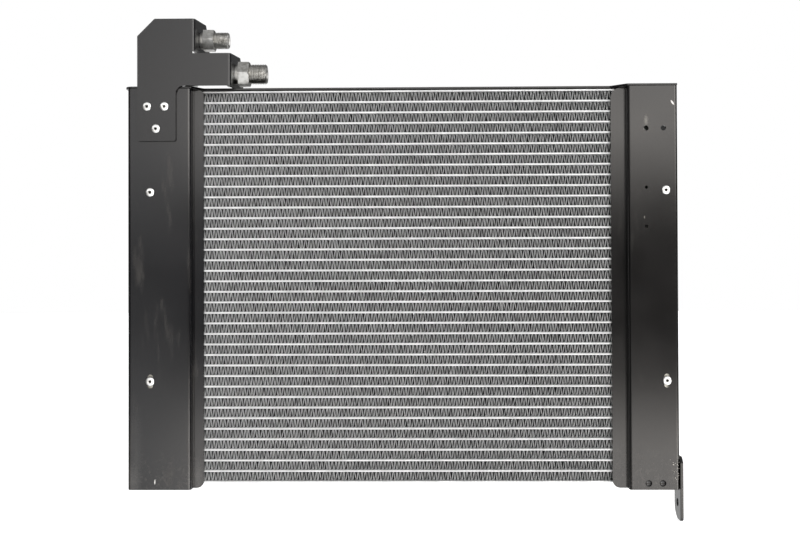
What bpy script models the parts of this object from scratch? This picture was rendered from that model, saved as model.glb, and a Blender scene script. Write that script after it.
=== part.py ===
"""Hydraulic oil cooler: a parallel-flow tube-and-fin core in a folded steel frame.

Every separate piece of the real cooler is its own closed solid.  Units are metres, +X to
the cooler's right seen from the front, +Y towards its back and +Z up.  The solids are laid
out around the core's centre line and an empty carries them so that the world origin is
the centre of the overall box.
"""
import math

import bmesh
import bpy
from mathutils import Matrix, Vector

MM = 0.001

# ---------------------------------------------------------------- driving dimensions
GAP = 0.3 * MM                     # clearance between pieces that touch

# Core
TUBE_COUNT = 36                    # flat tubes, even: they are packed in twos
TUBE_HEIGHT = 2.0 * MM
FIN_HEIGHT = 8.0 * MM
TUBE_DEPTH = 22.0 * MM
TOP_PLATE_THICKNESS = 1.6 * MM
BOTTOM_PLATE_THICKNESS = 1.4 * MM
TUBES_PER_PACK = 2
TUBE_STICK_OUT = 8.0 * MM          # how far a tube end passes into its header

# Headers
HEADER_RADIUS = 16.0 * MM
HEADER_WALL = 2.5 * MM
HEADER_STAND_OFF = 29.5 * MM       # header axis outboard of the edge of the core window
HEADER_REACH = 16.0 * MM           # fronts of the headers ahead of the middle of the core's depth
CAP_THICKNESS = 2.0 * MM
CAP_PLUG_LENGTH = 4.0 * MM
BAFFLE_THICKNESS = 1.6 * MM

# Side channels, folded from sheet
SHEET = 2.5 * MM
WINDOW_WIDTH = 385.4 * MM          # core seen between the two channels
LEFT_LIP = 10.1 * MM
RIGHT_LIP = 13.9 * MM
LEFT_FACE = 59.6 * MM
RIGHT_FACE = 46.6 * MM
CHANNEL_DEPTH = 70.0 * MM
CHANNEL_TOP_OVERHANG = 2.5 * MM    # channel past the outermost fin row
CHANNEL_BOTTOM_OVERHANG = 6.3 * MM
STEP_DEPTH = 12.5 * MM             # front face of the channel to the back of its lip
BEND_RADIUS = 3.5 * MM             # outer radius of a fold
LEFT_LIP_CORNERS = (4.0 * MM, 7.0 * MM)     # radius at the top and at the bottom
RIGHT_LIP_CORNERS = (9.5 * MM, 7.0 * MM)

# Top rail
RAIL_THICKNESS = 2.0 * MM
RAIL_LEFT_OVERHANG = 3.0 * MM
RAIL_CORNER_RADIUS = 7.0 * MM
RAIL_FRONT_SETBACK = 0.6 * MM
RAIL_BACK_OVERHANG = 2.0 * MM

# Fitting bracket, folded from sheet in front of the left channel
BRACKET_LEFT_INSET = 9.8 * MM      # left edge inboard of the channel's outer face
BRACKET_TAB_WIDTH = 36.1 * MM
BRACKET_UPPER_WIDTH = 54.4 * MM
BRACKET_ARM_WIDTH = 88.2 * MM
BRACKET_TAB_LAP = 49.7 * MM        # tab below the top of the channel
BRACKET_ARM_LIFT = 2.4 * MM        # arm above the top of the channel
BRACKET_ARM_HEIGHT = 30.3 * MM
BRACKET_RELIEF = 2.4 * MM          # notch between the two folded flanges
BRACKET_UPPER_HEIGHT = 30.2 * MM
BRACKET_CHAMFER = 16.3 * MM
BRACKET_FILLET = 8.0 * MM
BRACKET_CORNER = 2.0 * MM
FLANGE_DEPTH = 70.0 * MM
FLANGE_CHAMFER = 12.0 * MM
FLANGE_TOP_LENGTH = 50.0 * MM      # top edge between the fold and the chamfer
FLANGE_RISE = 6.0 * MM             # and its climb towards the back
RAIL_RELIEF_LEAD = 3.0 * MM        # the arm's flange starts to rise this far before the rail
RAIL_CLEARANCE = 1.0 * MM          # and then clears the rail by this much

# Unions and pipes
PORT_SETBACK = 24.5 * MM           # port axis behind the front of the channels
PORT_BORE_RADIUS = 4.5 * MM
HEX_THICKNESS = 10.5 * MM
UNION_COLLAR = 3.0 * MM
UPPER_THREAD_RADIUS = 7.94 * MM
UPPER_THREAD_LENGTH = 13.6 * MM
UPPER_ACROSS_FLATS = 19.0 * MM
LOWER_THREAD_RADIUS = 9.52 * MM
LOWER_THREAD_LENGTH = 16.4 * MM
LOWER_ACROSS_FLATS = 22.2 * MM
THREAD_CHAMFER = 1.0 * MM
SHANK_UNDERCUT = 0.6 * MM          # bulkhead shank smaller than the thread, on the radius
NUT_THICKNESS = 5.5 * MM
SHANK_TAIL = 2.4 * MM              # shank past the lock nut
PIPE_RADIUS = 6.0 * MM
PIPE_WALL = 1.25 * MM
PIPE_SOCKET_DEPTH = 6.0 * MM
PIPE_BEND_RADIUS = 14.0 * MM
PIPE_SPACING = 14.0 * MM
UPPER_PIPE_DROP = 46.0 * MM        # pipe's header joint below the top of the fins
LOWER_PIPE_DROP = 224.0 * MM

# Header clips
CLIP_SHEET = 1.5 * MM
CLIP_WIDTH = 16.0 * MM
CLIP_TAB_LENGTH = 14.4 * MM

# Blind rivets
RIVET_HEAD_RADIUS = 4.75 * MM
RIVET_HEAD_HEIGHT = 1.6 * MM
RIVET_SHANK_RADIUS = 2.4 * MM
RIVET_BULB_RADIUS = 3.4 * MM
RIVET_BULB_LENGTH = 3.6 * MM
RIVET_PIN_RADIUS = 1.35 * MM
RIVET_PIN_DEPTH = 1.2 * MM
RIVET_HEIGHT = 88.8 * MM           # channel rivets above and below the middle
LEFT_RIVET_INSET = 21.2 * MM       # rivet line inboard of the channel's outer face
RIGHT_RIVET_INSET = 11.5 * MM
SLOT_LENGTH = 13.0 * MM            # slot under each lower channel rivet
BRACKET_RIVETS = ((9.2 * MM, 32.4 * MM), (25.6 * MM, 32.4 * MM), (17.5 * MM, 11.5 * MM))

# Open holes in the right channel: inset from its outer face, height, radius
PAIR_HOLE_RADIUS = 2.45 * MM
PAIR_HOLE_INSETS = (29.4 * MM, 13.4 * MM)
PAIR_HOLE_DROP = 39.7 * MM         # below the top of the channel
SMALL_HOLE_RADIUS = 1.5 * MM
SMALL_HOLE_DROPS = (95.0 * MM, 131.5 * MM)
DIMPLE_RADIUS = 2.65 * MM
DIMPLE_DEPTH = 1.0 * MM
DIMPLE_RISE = 6.0 * MM             # above the bottom of the channel
DIMPLE_INSETS = (28.9 * MM, 15.8 * MM)

# Mounting ear on the right channel
EAR_SHEET = 3.0 * MM
EAR_WIDTH = 23.5 * MM
EAR_LAP = 30.0 * MM                # on the channel
EAR_DROP = 29.4 * MM               # below the channel
EAR_SETBACK = 0.3 * MM
EAR_TOP_CHAMFER = 5.0 * MM
EAR_REAR_RADIUS = 14.0 * MM
EAR_FRONT_RADIUS = 3.0 * MM
EAR_HOLE_RADIUS = 3.5 * MM
EAR_HOLE_DROP = 13.7 * MM
EAR_HOLE_SETBACK = 11.5 * MM

# Facets
ROUND_SEGMENTS = 24
SMALL_SEGMENTS = 14
BEND_SEGMENTS = 4
DOME_STEPS = 3

# ---------------------------------------------------------------- sizes worked out
ROW_PITCH = TUBE_HEIGHT + FIN_HEIGHT
CORE_TOP = (TUBE_COUNT * ROW_PITCH + FIN_HEIGHT) / 2
CHANNEL_TOP = CORE_TOP + CHANNEL_TOP_OVERHANG
CHANNEL_BOTTOM = -CORE_TOP - CHANNEL_BOTTOM_OVERHANG
WINDOW_EDGE = WINDOW_WIDTH / 2
LEFT_WEB = WINDOW_EDGE + LEFT_LIP          # distance of each step's face from the middle
RIGHT_WEB = WINDOW_EDGE + RIGHT_LIP
LEFT_OUTER = LEFT_WEB + LEFT_FACE
RIGHT_OUTER = RIGHT_WEB + RIGHT_FACE
CORE_FRONT = STEP_DEPTH + GAP
CORE_BACK = CORE_FRONT + TUBE_DEPTH
CORE_AXIS = (CORE_FRONT + CORE_BACK) / 2
HEADER_X = WINDOW_EDGE + HEADER_STAND_OFF
HEADER_AXIS_Y = CORE_AXIS - HEADER_REACH + HEADER_RADIUS
HEADER_BORE = HEADER_RADIUS - HEADER_WALL
HEADER_TOP = CHANNEL_TOP - CAP_THICKNESS - GAP     # the caps end level with the channels
HEADER_FACE = HEADER_X - HEADER_RADIUS
RAIL_BOTTOM = CHANNEL_TOP + GAP
BRACKET_LEFT = -LEFT_OUTER + BRACKET_LEFT_INSET
BRACKET_ARM_BOTTOM = CHANNEL_TOP + BRACKET_ARM_LIFT
BRACKET_ARM_TOP = BRACKET_ARM_BOTTOM + BRACKET_ARM_HEIGHT
BRACKET_UPPER_BOTTOM = BRACKET_ARM_TOP + BRACKET_RELIEF
BRACKET_TOP = BRACKET_UPPER_BOTTOM + BRACKET_UPPER_HEIGHT
UPPER_FLANGE_X = BRACKET_LEFT + BRACKET_UPPER_WIDTH
LOWER_FLANGE_X = BRACKET_LEFT + BRACKET_ARM_WIDTH
UPPER_PORT_Z = (BRACKET_UPPER_BOTTOM + BRACKET_TOP) / 2
LOWER_PORT_Z = (BRACKET_ARM_BOTTOM + BRACKET_ARM_TOP) / 2
BRACKET_BACK = -GAP
BRACKET_FRONT = BRACKET_BACK - SHEET
PIPE_RUN_Y = HEADER_AXIS_Y + HEADER_RADIUS + PIPE_BEND_RADIUS
EAR_BOTTOM = CHANNEL_BOTTOM - EAR_DROP
EAR_OUTER = RIGHT_OUTER + GAP + EAR_SHEET
RIVET_HOLE_RADIUS = RIVET_SHANK_RADIUS + GAP

FRONT = BRACKET_FRONT - GAP - RIVET_HEAD_HEIGHT
BACK = max(CHANNEL_DEPTH, BRACKET_FRONT + FLANGE_DEPTH)
BOX_CENTRE = Vector((
    (EAR_OUTER - LEFT_OUTER - RAIL_LEFT_OVERHANG) / 2,
    (FRONT + BACK) / 2,
    (BRACKET_TOP + FLANGE_RISE + EAR_BOTTOM) / 2,
))

COLOURS = {
    "black_paint": ((0.030, 0.030, 0.032), 0.42, 0.0),
    "bracket_paint": ((0.036, 0.037, 0.040), 0.45, 0.0),
    "core_aluminium": ((0.52, 0.53, 0.54), 0.38, 1.0),
    "header_aluminium": ((0.60, 0.61, 0.62), 0.34, 1.0),
    "zinc_plate": ((0.56, 0.55, 0.50), 0.36, 1.0),
    "rivet_aluminium": ((0.82, 0.82, 0.82), 0.28, 1.0),
    "clip_steel": ((0.48, 0.48, 0.47), 0.40, 1.0),
}


# ---------------------------------------------------------------- scene and helpers
def clear_scene():
    """Remove every object, so the script always starts from nothing."""
    for item in list(bpy.data.objects):
        bpy.data.objects.remove(item, do_unlink=True)


def new_collection(name):
    """A collection linked to the scene."""
    collection = bpy.data.collections.new(name)
    bpy.context.scene.collection.children.link(collection)
    return collection


def make_material(name):
    """A Principled material from the table of colours."""
    colour, roughness, metallic = COLOURS[name]
    material = bpy.data.materials.new(name)
    material.use_nodes = True
    shader = material.node_tree.nodes["Principled BSDF"]
    shader.inputs["Base Color"].default_value = (*colour, 1.0)
    shader.inputs["Roughness"].default_value = roughness
    shader.inputs["Metallic"].default_value = metallic
    return material


def add_object(name, data, collection):
    """An object in one collection only."""
    item = bpy.data.objects.new(name, data)
    collection.objects.link(item)
    return item


def add_part(name, data, material):
    """A piece of the cooler, carried by the origin empty."""
    item = add_object(name, data, PARTS)
    item.parent = ORIGIN
    data.materials.clear()
    data.materials.append(MATERIALS[material])
    return item


def arc(centre, radius, start, end, steps):
    """Points of an arc in a plane, angles in degrees."""
    points = []
    for step in range(steps + 1):
        angle = math.radians(start + (end - start) * step / steps)
        points.append((centre[0] + radius * math.cos(angle), centre[1] + radius * math.sin(angle)))
    return points


def flat_outline(name, outlines, thickness):
    """A flat plate in its local XY plane, as thick as given, from closed outlines."""
    curve = bpy.data.curves.new(name, "CURVE")
    curve.dimensions = "2D"
    curve.fill_mode = "BOTH"
    curve.extrude = thickness / 2
    for outline in outlines:
        spline = curve.splines.new("POLY")
        spline.points.add(len(outline) - 1)
        for point, (x, y) in zip(spline.points, outline):
            point.co = (x, y, 0.0, 1.0)
        spline.use_cyclic_u = True
    return curve


def sheet_mesh(name, path, low, high):
    """An open sheet: a path in the XY plane drawn out from one height to another."""
    build = bmesh.new()
    columns = []
    for x, y in path:
        columns.append((build.verts.new((x, y, low)), build.verts.new((x, y, high))))
    for (a, b), (c, d) in zip(columns, columns[1:]):
        build.faces.new((a, c, d, b))
    mesh = bpy.data.meshes.new(name)
    build.to_mesh(mesh)
    build.free()
    return mesh


def thicken(item, thickness, offset):
    """Give an open sheet its thickness; offset -1 is away from its normals."""
    modifier = item.modifiers.new("sheet", "SOLIDIFY")
    modifier.thickness = thickness
    modifier.offset = offset
    modifier.use_even_offset = True
    return modifier


def weld(mesh):
    """Join the loose caps of a mesh that was made from a curve, and turn its faces out."""
    build = bmesh.new()
    build.from_mesh(mesh)
    bmesh.ops.remove_doubles(build, verts=build.verts, dist=0.001 * MM)
    bmesh.ops.recalc_face_normals(build, faces=build.faces)
    build.to_mesh(mesh)
    build.free()


def curve_mesh(name, curve):
    """The closed mesh that a filled or bevelled curve makes."""
    holder = add_object(f"{name}_curve", curve, CUTTERS)
    depsgraph = bpy.context.evaluated_depsgraph_get()
    mesh = bpy.data.meshes.new_from_object(holder.evaluated_get(depsgraph))
    bpy.data.objects.remove(holder, do_unlink=True)
    weld(mesh)
    return mesh


def add_cutter(name, mesh):
    """A cutting body, hidden and carried like the parts."""
    item = add_object(name, mesh, CUTTERS)
    item.parent = ORIGIN
    item.hide_render = True
    item.display_type = "WIRE"
    return item


def cylinder_mesh(name, radius, length, segments):
    """A closed cylinder along local Z, centred."""
    build = bmesh.new()
    bmesh.ops.create_cone(
        build, cap_ends=True, segments=segments, radius1=radius, radius2=radius, depth=length)
    mesh = bpy.data.meshes.new(name)
    build.to_mesh(mesh)
    build.free()
    return mesh


def box_mesh(name, size):
    """A closed box, centred."""
    build = bmesh.new()
    bmesh.ops.create_cube(build, size=1.0)
    bmesh.ops.scale(build, vec=size, verts=build.verts)
    mesh = bpy.data.meshes.new(name)
    build.to_mesh(mesh)
    build.free()
    return mesh


def cut(item, cutter, operation="DIFFERENCE"):
    """Join or cut a piece by another body."""
    modifier = item.modifiers.new(cutter.name, "BOOLEAN")
    modifier.operation = operation
    modifier.solver = "EXACT"
    modifier.object = cutter


def drill_y(item, name, x, z, radius, front, back, segments=SMALL_SEGMENTS):
    """A round hole along Y through a piece."""
    cutter = add_cutter(name, cylinder_mesh(name, radius, back - front, segments))
    cutter.rotation_euler = (math.radians(90), 0, 0)
    cutter.location = (x, (front + back) / 2, z)
    cut(item, cutter)


def drill_x(item, name, y, z, radius, left, right, segments=SMALL_SEGMENTS):
    """A round hole along X through a piece."""
    cutter = add_cutter(name, cylinder_mesh(name, radius, right - left, segments))
    cutter.rotation_euler = (0, math.radians(90), 0)
    cutter.location = ((left + right) / 2, y, z)
    cut(item, cutter)


def turned(name, profile, material, segments=ROUND_SEGMENTS, closed=False):
    """A turned piece about its local Z from a profile of (radius, height), top to bottom."""
    build = bmesh.new()
    points = [build.verts.new((radius, 0.0, height)) for radius, height in profile]
    for first, second in zip(points, points[1:]):
        build.edges.new((first, second))
    if closed:
        build.edges.new((points[-1], points[0]))
    mesh = bpy.data.meshes.new(name)
    build.to_mesh(mesh)
    build.free()
    item = add_part(name, mesh, material)
    screw = item.modifiers.new("turn", "SCREW")
    screw.steps = segments
    screw.render_steps = segments
    screw.use_merge_vertices = True
    screw.merge_threshold = 0.01 * MM
    screw.use_smooth_shade = True
    return item


# ---------------------------------------------------------------- core
def pack_outline(tubes, fin_height):
    """Outline of stacked fin rows and tubes in the XZ plane, from its own underside."""
    half_fin = HEADER_FACE - GAP
    half_tube = half_fin + GAP + TUBE_STICK_OUT
    right = [(half_fin, 0.0)]
    height = 0.0
    for index in range(tubes):
        height += fin_height
        right.append((half_fin, height))
        right.append((half_tube, height))
        height += TUBE_HEIGHT
        if index < tubes - 1:
            right.append((half_tube, height))
            right.append((half_fin, height))
        else:
            right.append((half_tube, height))
    left = [(-x, z) for x, z in reversed(right)]
    return right + left


def build_core_packs():
    """Tubes and fin rows, two of each to a pack, with the last fin row on its own."""
    pack_height = TUBES_PER_PACK * ROW_PITCH
    fin_height = (pack_height - GAP) / TUBES_PER_PACK - TUBE_HEIGHT
    outline = pack_outline(TUBES_PER_PACK, fin_height)
    shape = flat_outline("core_pack", [outline], TUBE_DEPTH)
    for index in range(TUBE_COUNT // TUBES_PER_PACK):
        pack = add_part(f"core_pack_{index + 1:02d}", shape, "core_aluminium")
        pack.rotation_euler = (math.radians(90), 0, 0)
        pack.location = (0, CORE_AXIS, -CORE_TOP + index * pack_height + GAP / 2)
    half = HEADER_FACE - GAP
    fins = add_part(
        "core_fin_top", box_mesh("core_fin_top", (2 * half, TUBE_DEPTH, FIN_HEIGHT - GAP)),
        "core_aluminium")
    fins.location = (0, CORE_AXIS, CORE_TOP - FIN_HEIGHT / 2)


def build_side_plates():
    """The flat plates that close the core above and below."""
    half = HEADER_FACE - GAP
    for name, thickness, side in (
            ("top_side_plate", TOP_PLATE_THICKNESS, 1), ("bottom_side_plate", BOTTOM_PLATE_THICKNESS, -1)):
        plate = add_part(name, box_mesh(name, (2 * half, TUBE_DEPTH, thickness)), "core_aluminium")
        plate.location = (0, CORE_AXIS, side * (CORE_TOP + GAP + thickness / 2))


# ---------------------------------------------------------------- headers
def build_header(name, side):
    """A header tube with one slot for every flat tube."""
    profile = (
        (HEADER_RADIUS, HEADER_TOP), (HEADER_RADIUS, -HEADER_TOP),
        (HEADER_BORE, -HEADER_TOP), (HEADER_BORE, HEADER_TOP))
    header = turned(name, profile, "header_aluminium", closed=True)
    header.location = (side * HEADER_X, HEADER_AXIS_Y, 0)
    inner = HEADER_FACE + TUBE_STICK_OUT + GAP
    outer = HEADER_FACE - HEADER_RADIUS
    slot_size = (inner - outer, TUBE_DEPTH + 2 * GAP, TUBE_HEIGHT + 2 * GAP)
    slots = bmesh.new()
    for index in range(TUBE_COUNT):
        height = -CORE_TOP + FIN_HEIGHT + TUBE_HEIGHT / 2 + index * ROW_PITCH
        made = bmesh.ops.create_cube(slots, size=1.0)
        bmesh.ops.scale(slots, vec=slot_size, verts=made["verts"])
        bmesh.ops.translate(slots, vec=(0, 0, height), verts=made["verts"])
    mesh = bpy.data.meshes.new(f"{name}_slots")
    slots.to_mesh(mesh)
    slots.free()
    cutter = add_cutter(f"{name}_slots", mesh)
    cutter.location = (side * (inner + outer) / 2, CORE_AXIS, 0)
    cut(header, cutter)
    return header


def build_caps(header_name, side):
    """The two turned plugs that close a header."""
    plug = HEADER_BORE - GAP
    top = CAP_THICKNESS + GAP
    chamfer = 0.5 * MM
    profile = (
        (0, top), (HEADER_RADIUS - chamfer, top), (HEADER_RADIUS, top - chamfer),
        (HEADER_RADIUS, GAP), (plug, GAP), (plug, -CAP_PLUG_LENGTH), (0, -CAP_PLUG_LENGTH))
    for end, turn, place in (("top", 0, HEADER_TOP), ("bottom", 180, -HEADER_TOP)):
        cap = turned(f"{header_name}_{end}_cap", profile, "header_aluminium")
        cap.location = (side * HEADER_X, HEADER_AXIS_Y, place)
        cap.rotation_euler = (math.radians(turn), 0, 0)


def build_baffle():
    """The disc that parts the left header into two chambers."""
    radius = HEADER_BORE - GAP
    half = BAFFLE_THICKNESS / 2
    baffle = turned(
        "header_baffle", ((0, half), (radius, half), (radius, -half), (0, -half)), "header_aluminium")
    baffle.location = (-HEADER_X, HEADER_AXIS_Y, 0)


# ---------------------------------------------------------------- folded frame
def channel_path(window, web, outer, side):
    """Outer surface of a side channel in plan, from its lip round to its side flange."""
    lip_back = STEP_DEPTH
    lip_front = lip_back - SHEET
    inner_radius = BEND_RADIUS - SHEET
    path = [(window, lip_front)]
    path += arc((web - inner_radius, lip_front - inner_radius), inner_radius, 90, 0, BEND_SEGMENTS)
    path += arc((web + BEND_RADIUS, BEND_RADIUS), BEND_RADIUS, 180, 270, BEND_SEGMENTS)
    path += arc((outer - BEND_RADIUS, BEND_RADIUS), BEND_RADIUS, 270, 360, BEND_SEGMENTS)
    path.append((outer, CHANNEL_DEPTH))
    return [(side * x, y) for x, y in path]


def round_lip_corners(channel, name, radii, side):
    """Round the lip's free corners, the upper by the first radius and the lower by the second."""
    margin = 1.0 * MM
    for end, level, radius, height in (
            (1, "top", radii[0], CHANNEL_TOP), (-1, "bottom", radii[1], CHANNEL_BOTTOM)):
        outline = [(-margin, -margin), (radius, -margin)]
        outline += arc((radius, radius), radius, 270, 180, 6) + [(-margin, radius)]
        shape = flat_outline(f"{name}_{level}", [outline], STEP_DEPTH)
        cutter = add_cutter(f"{name}_{level}", curve_mesh(f"{name}_{level}", shape))
        cutter.rotation_euler = (math.radians(90), 0, 0)
        cutter.scale = (side, -end, 1)
        cutter.location = (side * WINDOW_EDGE, STEP_DEPTH, height)
        cut(channel, cutter)


def build_channel(name, web, outer, lip_radii, side):
    """One side channel with its rounded lip."""
    path = channel_path(WINDOW_EDGE, web, outer, side)
    channel = add_part(name, sheet_mesh(name, path, CHANNEL_BOTTOM, CHANNEL_TOP), "black_paint")
    thicken(channel, SHEET, -side)
    round_lip_corners(channel, f"{name}_lip", lip_radii, side)
    return channel


def rivet_slot(channel, name, x, z):
    """The upright slot under a lower rivet."""
    radius = RIVET_HOLE_RADIUS
    reach = SLOT_LENGTH / 2 - radius
    outline = arc((0, reach), radius, 0, 180, 10) + arc((0, -reach), radius, 180, 360, 10)
    cutter = add_cutter(name, curve_mesh(name, flat_outline(name, [outline], 4 * SHEET)))
    cutter.rotation_euler = (math.radians(90), 0, 0)
    cutter.location = (x, SHEET / 2, z)
    cut(channel, cutter)


def build_left_channel():
    """The wide left channel, drilled for its own rivets and the bracket's."""
    channel = build_channel("left_side_channel", LEFT_WEB, LEFT_OUTER, LEFT_LIP_CORNERS, -1)
    rivet_x = -LEFT_OUTER + LEFT_RIVET_INSET
    drill_y(channel, "left_rivet_hole", rivet_x, RIVET_HEIGHT, RIVET_HOLE_RADIUS, -SHEET, 2 * SHEET)
    rivet_slot(channel, "left_rivet_slot", rivet_x, -RIVET_HEIGHT)
    for index, (x, z) in enumerate(bracket_rivet_places()):
        drill_y(channel, f"left_bracket_hole_{index + 1}", x, z, RIVET_HOLE_RADIUS, -SHEET, 2 * SHEET)


def build_right_channel():
    """The narrow right channel with its rivet holes, open holes and dimples."""
    channel = build_channel("right_side_channel", RIGHT_WEB, RIGHT_OUTER, RIGHT_LIP_CORNERS, 1)
    rivet_x = RIGHT_OUTER - RIGHT_RIVET_INSET
    drill_y(channel, "right_rivet_hole", rivet_x, RIVET_HEIGHT, RIVET_HOLE_RADIUS, -SHEET, 2 * SHEET)
    rivet_slot(channel, "right_rivet_slot", rivet_x, -RIVET_HEIGHT)
    for index, inset in enumerate(PAIR_HOLE_INSETS):
        drill_y(channel, f"pair_hole_{index + 1}", RIGHT_OUTER - inset, CHANNEL_TOP - PAIR_HOLE_DROP,
                PAIR_HOLE_RADIUS, -SHEET, 2 * SHEET)
    for index, drop in enumerate(SMALL_HOLE_DROPS):
        drill_y(channel, f"small_hole_{index + 1}", RIGHT_OUTER - PAIR_HOLE_INSETS[0], CHANNEL_TOP - drop,
                SMALL_HOLE_RADIUS, -SHEET, 2 * SHEET)
    for index, inset in enumerate(DIMPLE_INSETS):
        drill_y(channel, f"dimple_{index + 1}", RIGHT_OUTER - inset, CHANNEL_BOTTOM + DIMPLE_RISE,
                DIMPLE_RADIUS, -SHEET, DIMPLE_DEPTH)


def build_top_rail():
    """The flat bar along the top, reaching forward over both channels."""
    left = -LEFT_OUTER - RAIL_LEFT_OVERHANG
    front = RAIL_FRONT_SETBACK
    back = CORE_BACK + RAIL_BACK_OVERHANG
    corner = RAIL_CORNER_RADIUS
    outline = arc((left + corner, front + corner), corner, 180, 270, 6)
    outline += [(-LEFT_WEB, front), (-WINDOW_EDGE, CORE_FRONT), (WINDOW_EDGE, CORE_FRONT)]
    outline += [(RIGHT_WEB, front), (RIGHT_OUTER, front), (RIGHT_OUTER, back)]
    outline += arc((left + corner, back - corner), corner, 90, 180, 6)
    rail = add_part("top_rail", flat_outline("top_rail", [outline], RAIL_THICKNESS), "black_paint")
    rail.location = (0, 0, RAIL_BOTTOM + RAIL_THICKNESS / 2)


def build_mounting_ear():
    """The drilled ear on the outside of the right channel, below its corner."""
    front = EAR_SETBACK
    back = front + EAR_WIDTH
    top = CHANNEL_BOTTOM + EAR_LAP
    outline = [(front + EAR_TOP_CHAMFER, top), (front, top - EAR_TOP_CHAMFER)]
    outline += arc((front + EAR_FRONT_RADIUS, EAR_BOTTOM + EAR_FRONT_RADIUS), EAR_FRONT_RADIUS, 180, 270, 4)
    outline += arc((back - EAR_REAR_RADIUS, EAR_BOTTOM + EAR_REAR_RADIUS), EAR_REAR_RADIUS, 270, 360, 8)
    outline.append((back, top))
    hole = arc((front + EAR_HOLE_SETBACK, CHANNEL_BOTTOM - EAR_HOLE_DROP), EAR_HOLE_RADIUS, 0, 345, 23)
    ear = add_part("mounting_ear", flat_outline("mounting_ear", [outline, hole], EAR_SHEET), "black_paint")
    ear.rotation_euler = (math.radians(90), 0, math.radians(90))
    ear.location = (RIGHT_OUTER + GAP + EAR_SHEET / 2, 0, 0)


# ---------------------------------------------------------------- fitting bracket
def bracket_outline():
    """Front of the bracket in the XZ plane, anticlockwise from the tab's lower left corner."""
    left = BRACKET_LEFT
    tab_right = left + BRACKET_TAB_WIDTH
    tab_bottom = CHANNEL_TOP - BRACKET_TAB_LAP
    upper_right = UPPER_FLANGE_X - BEND_RADIUS
    arm_right = LOWER_FLANGE_X - BEND_RADIUS
    corner = BRACKET_CORNER
    outline = [(left, BRACKET_TOP - BRACKET_CHAMFER)]
    outline += arc((left + corner, tab_bottom + corner), corner, 180, 270, 3)
    outline += arc((tab_right - corner, tab_bottom + corner), corner, 270, 360, 3)
    fillet = BRACKET_FILLET
    outline += arc((tab_right + fillet, BRACKET_ARM_BOTTOM - fillet), fillet, 180, 90, 6)
    outline += [(arm_right, BRACKET_ARM_BOTTOM), (arm_right, BRACKET_ARM_TOP)]
    outline += [(upper_right, BRACKET_ARM_TOP), (upper_right, BRACKET_UPPER_BOTTOM)]
    outline += [(upper_right, BRACKET_TOP), (left + BRACKET_CHAMFER, BRACKET_TOP)]
    return outline


def fold_flange(build, edge):
    """Draw an edge of the bracket's front round a bend and back.

    Its top edge climbs to a cut corner, and its lower edge rises where it would meet the top
    rail.
    """
    bend_x = edge.verts[0].co.x
    flange_x = bend_x + BEND_RADIUS
    low, high = sorted(vertex.co.z for vertex in edge.verts)
    clear = max(low, RAIL_BOTTOM + RAIL_THICKNESS + RAIL_CLEARANCE)
    rise_start = CORE_FRONT - RAIL_RELIEF_LEAD
    rise_end = CORE_FRONT - RAIL_CLEARANCE
    climb_start = BRACKET_FRONT + BEND_RADIUS
    chamfer_start = climb_start + FLANGE_TOP_LENGTH
    chamfer_end = chamfer_start + FLANGE_CHAMFER
    places = arc((bend_x, BRACKET_FRONT + BEND_RADIUS), BEND_RADIUS, 270, 360, BEND_SEGMENTS)[1:]
    depths = sorted({rise_start, rise_end, chamfer_start, chamfer_end})
    places += [(flange_x, depth) for depth in depths]
    places.append((flange_x, BRACKET_FRONT + FLANGE_DEPTH))
    for x, y in places:
        rise = min(max((y - rise_start) / (rise_end - rise_start), 0.0), 1.0)
        climb = min(max((y - climb_start) / FLANGE_TOP_LENGTH, 0.0), 1.0) * FLANGE_RISE
        fall = min(max(y - chamfer_start, 0.0), FLANGE_CHAMFER)
        made = bmesh.ops.extrude_edge_only(build, edges=[edge])["geom"]
        edge = next(item for item in made if isinstance(item, bmesh.types.BMEdge))
        lower, upper = sorted(edge.verts, key=lambda vertex: vertex.co.z)
        lower.co = (x, y, low + rise * (clear - low))
        upper.co = (x, y, high + climb - fall)


def build_bracket():
    """The fitting bracket: a front plate with two folded flanges for the unions."""
    build = bmesh.new()
    corners = [build.verts.new((x, BRACKET_FRONT, z)) for x, z in bracket_outline()]
    face = build.faces.new(corners)
    flanges = []
    for edge in face.edges:
        low, high = sorted(vertex.co.z for vertex in edge.verts)
        upright = abs(edge.verts[0].co.x - edge.verts[1].co.x) < 0.01 * MM
        spans_arm = abs(low - BRACKET_ARM_BOTTOM) < 0.01 * MM and abs(high - BRACKET_ARM_TOP) < 0.01 * MM
        spans_upper = abs(low - BRACKET_UPPER_BOTTOM) < 0.01 * MM and abs(high - BRACKET_TOP) < 0.01 * MM
        if upright and (spans_arm or spans_upper):
            flanges.append(edge)
    for edge in flanges:
        fold_flange(build, edge)
    bmesh.ops.recalc_face_normals(build, faces=build.faces)
    if face.normal.y > 0:
        bmesh.ops.reverse_faces(build, faces=build.faces)
    mesh = bpy.data.meshes.new("fitting_bracket")
    build.to_mesh(mesh)
    build.free()
    bracket = add_part("fitting_bracket", mesh, "bracket_paint")
    thicken(bracket, SHEET, -1)
    for index, (x, z) in enumerate(bracket_rivet_places()):
        drill_y(bracket, f"bracket_hole_{index + 1}", x, z, RIVET_HOLE_RADIUS,
                BRACKET_FRONT - SHEET, BRACKET_BACK + SHEET / 2)
    for name, x, z, radius in (
            ("upper_port_hole", UPPER_FLANGE_X, UPPER_PORT_Z, UPPER_THREAD_RADIUS),
            ("lower_port_hole", LOWER_FLANGE_X, LOWER_PORT_Z, LOWER_THREAD_RADIUS)):
        shank = radius - SHANK_UNDERCUT
        drill_x(bracket, name, PORT_SETBACK, z, shank + GAP, x - 2 * SHEET, x + SHEET, ROUND_SEGMENTS)


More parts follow.
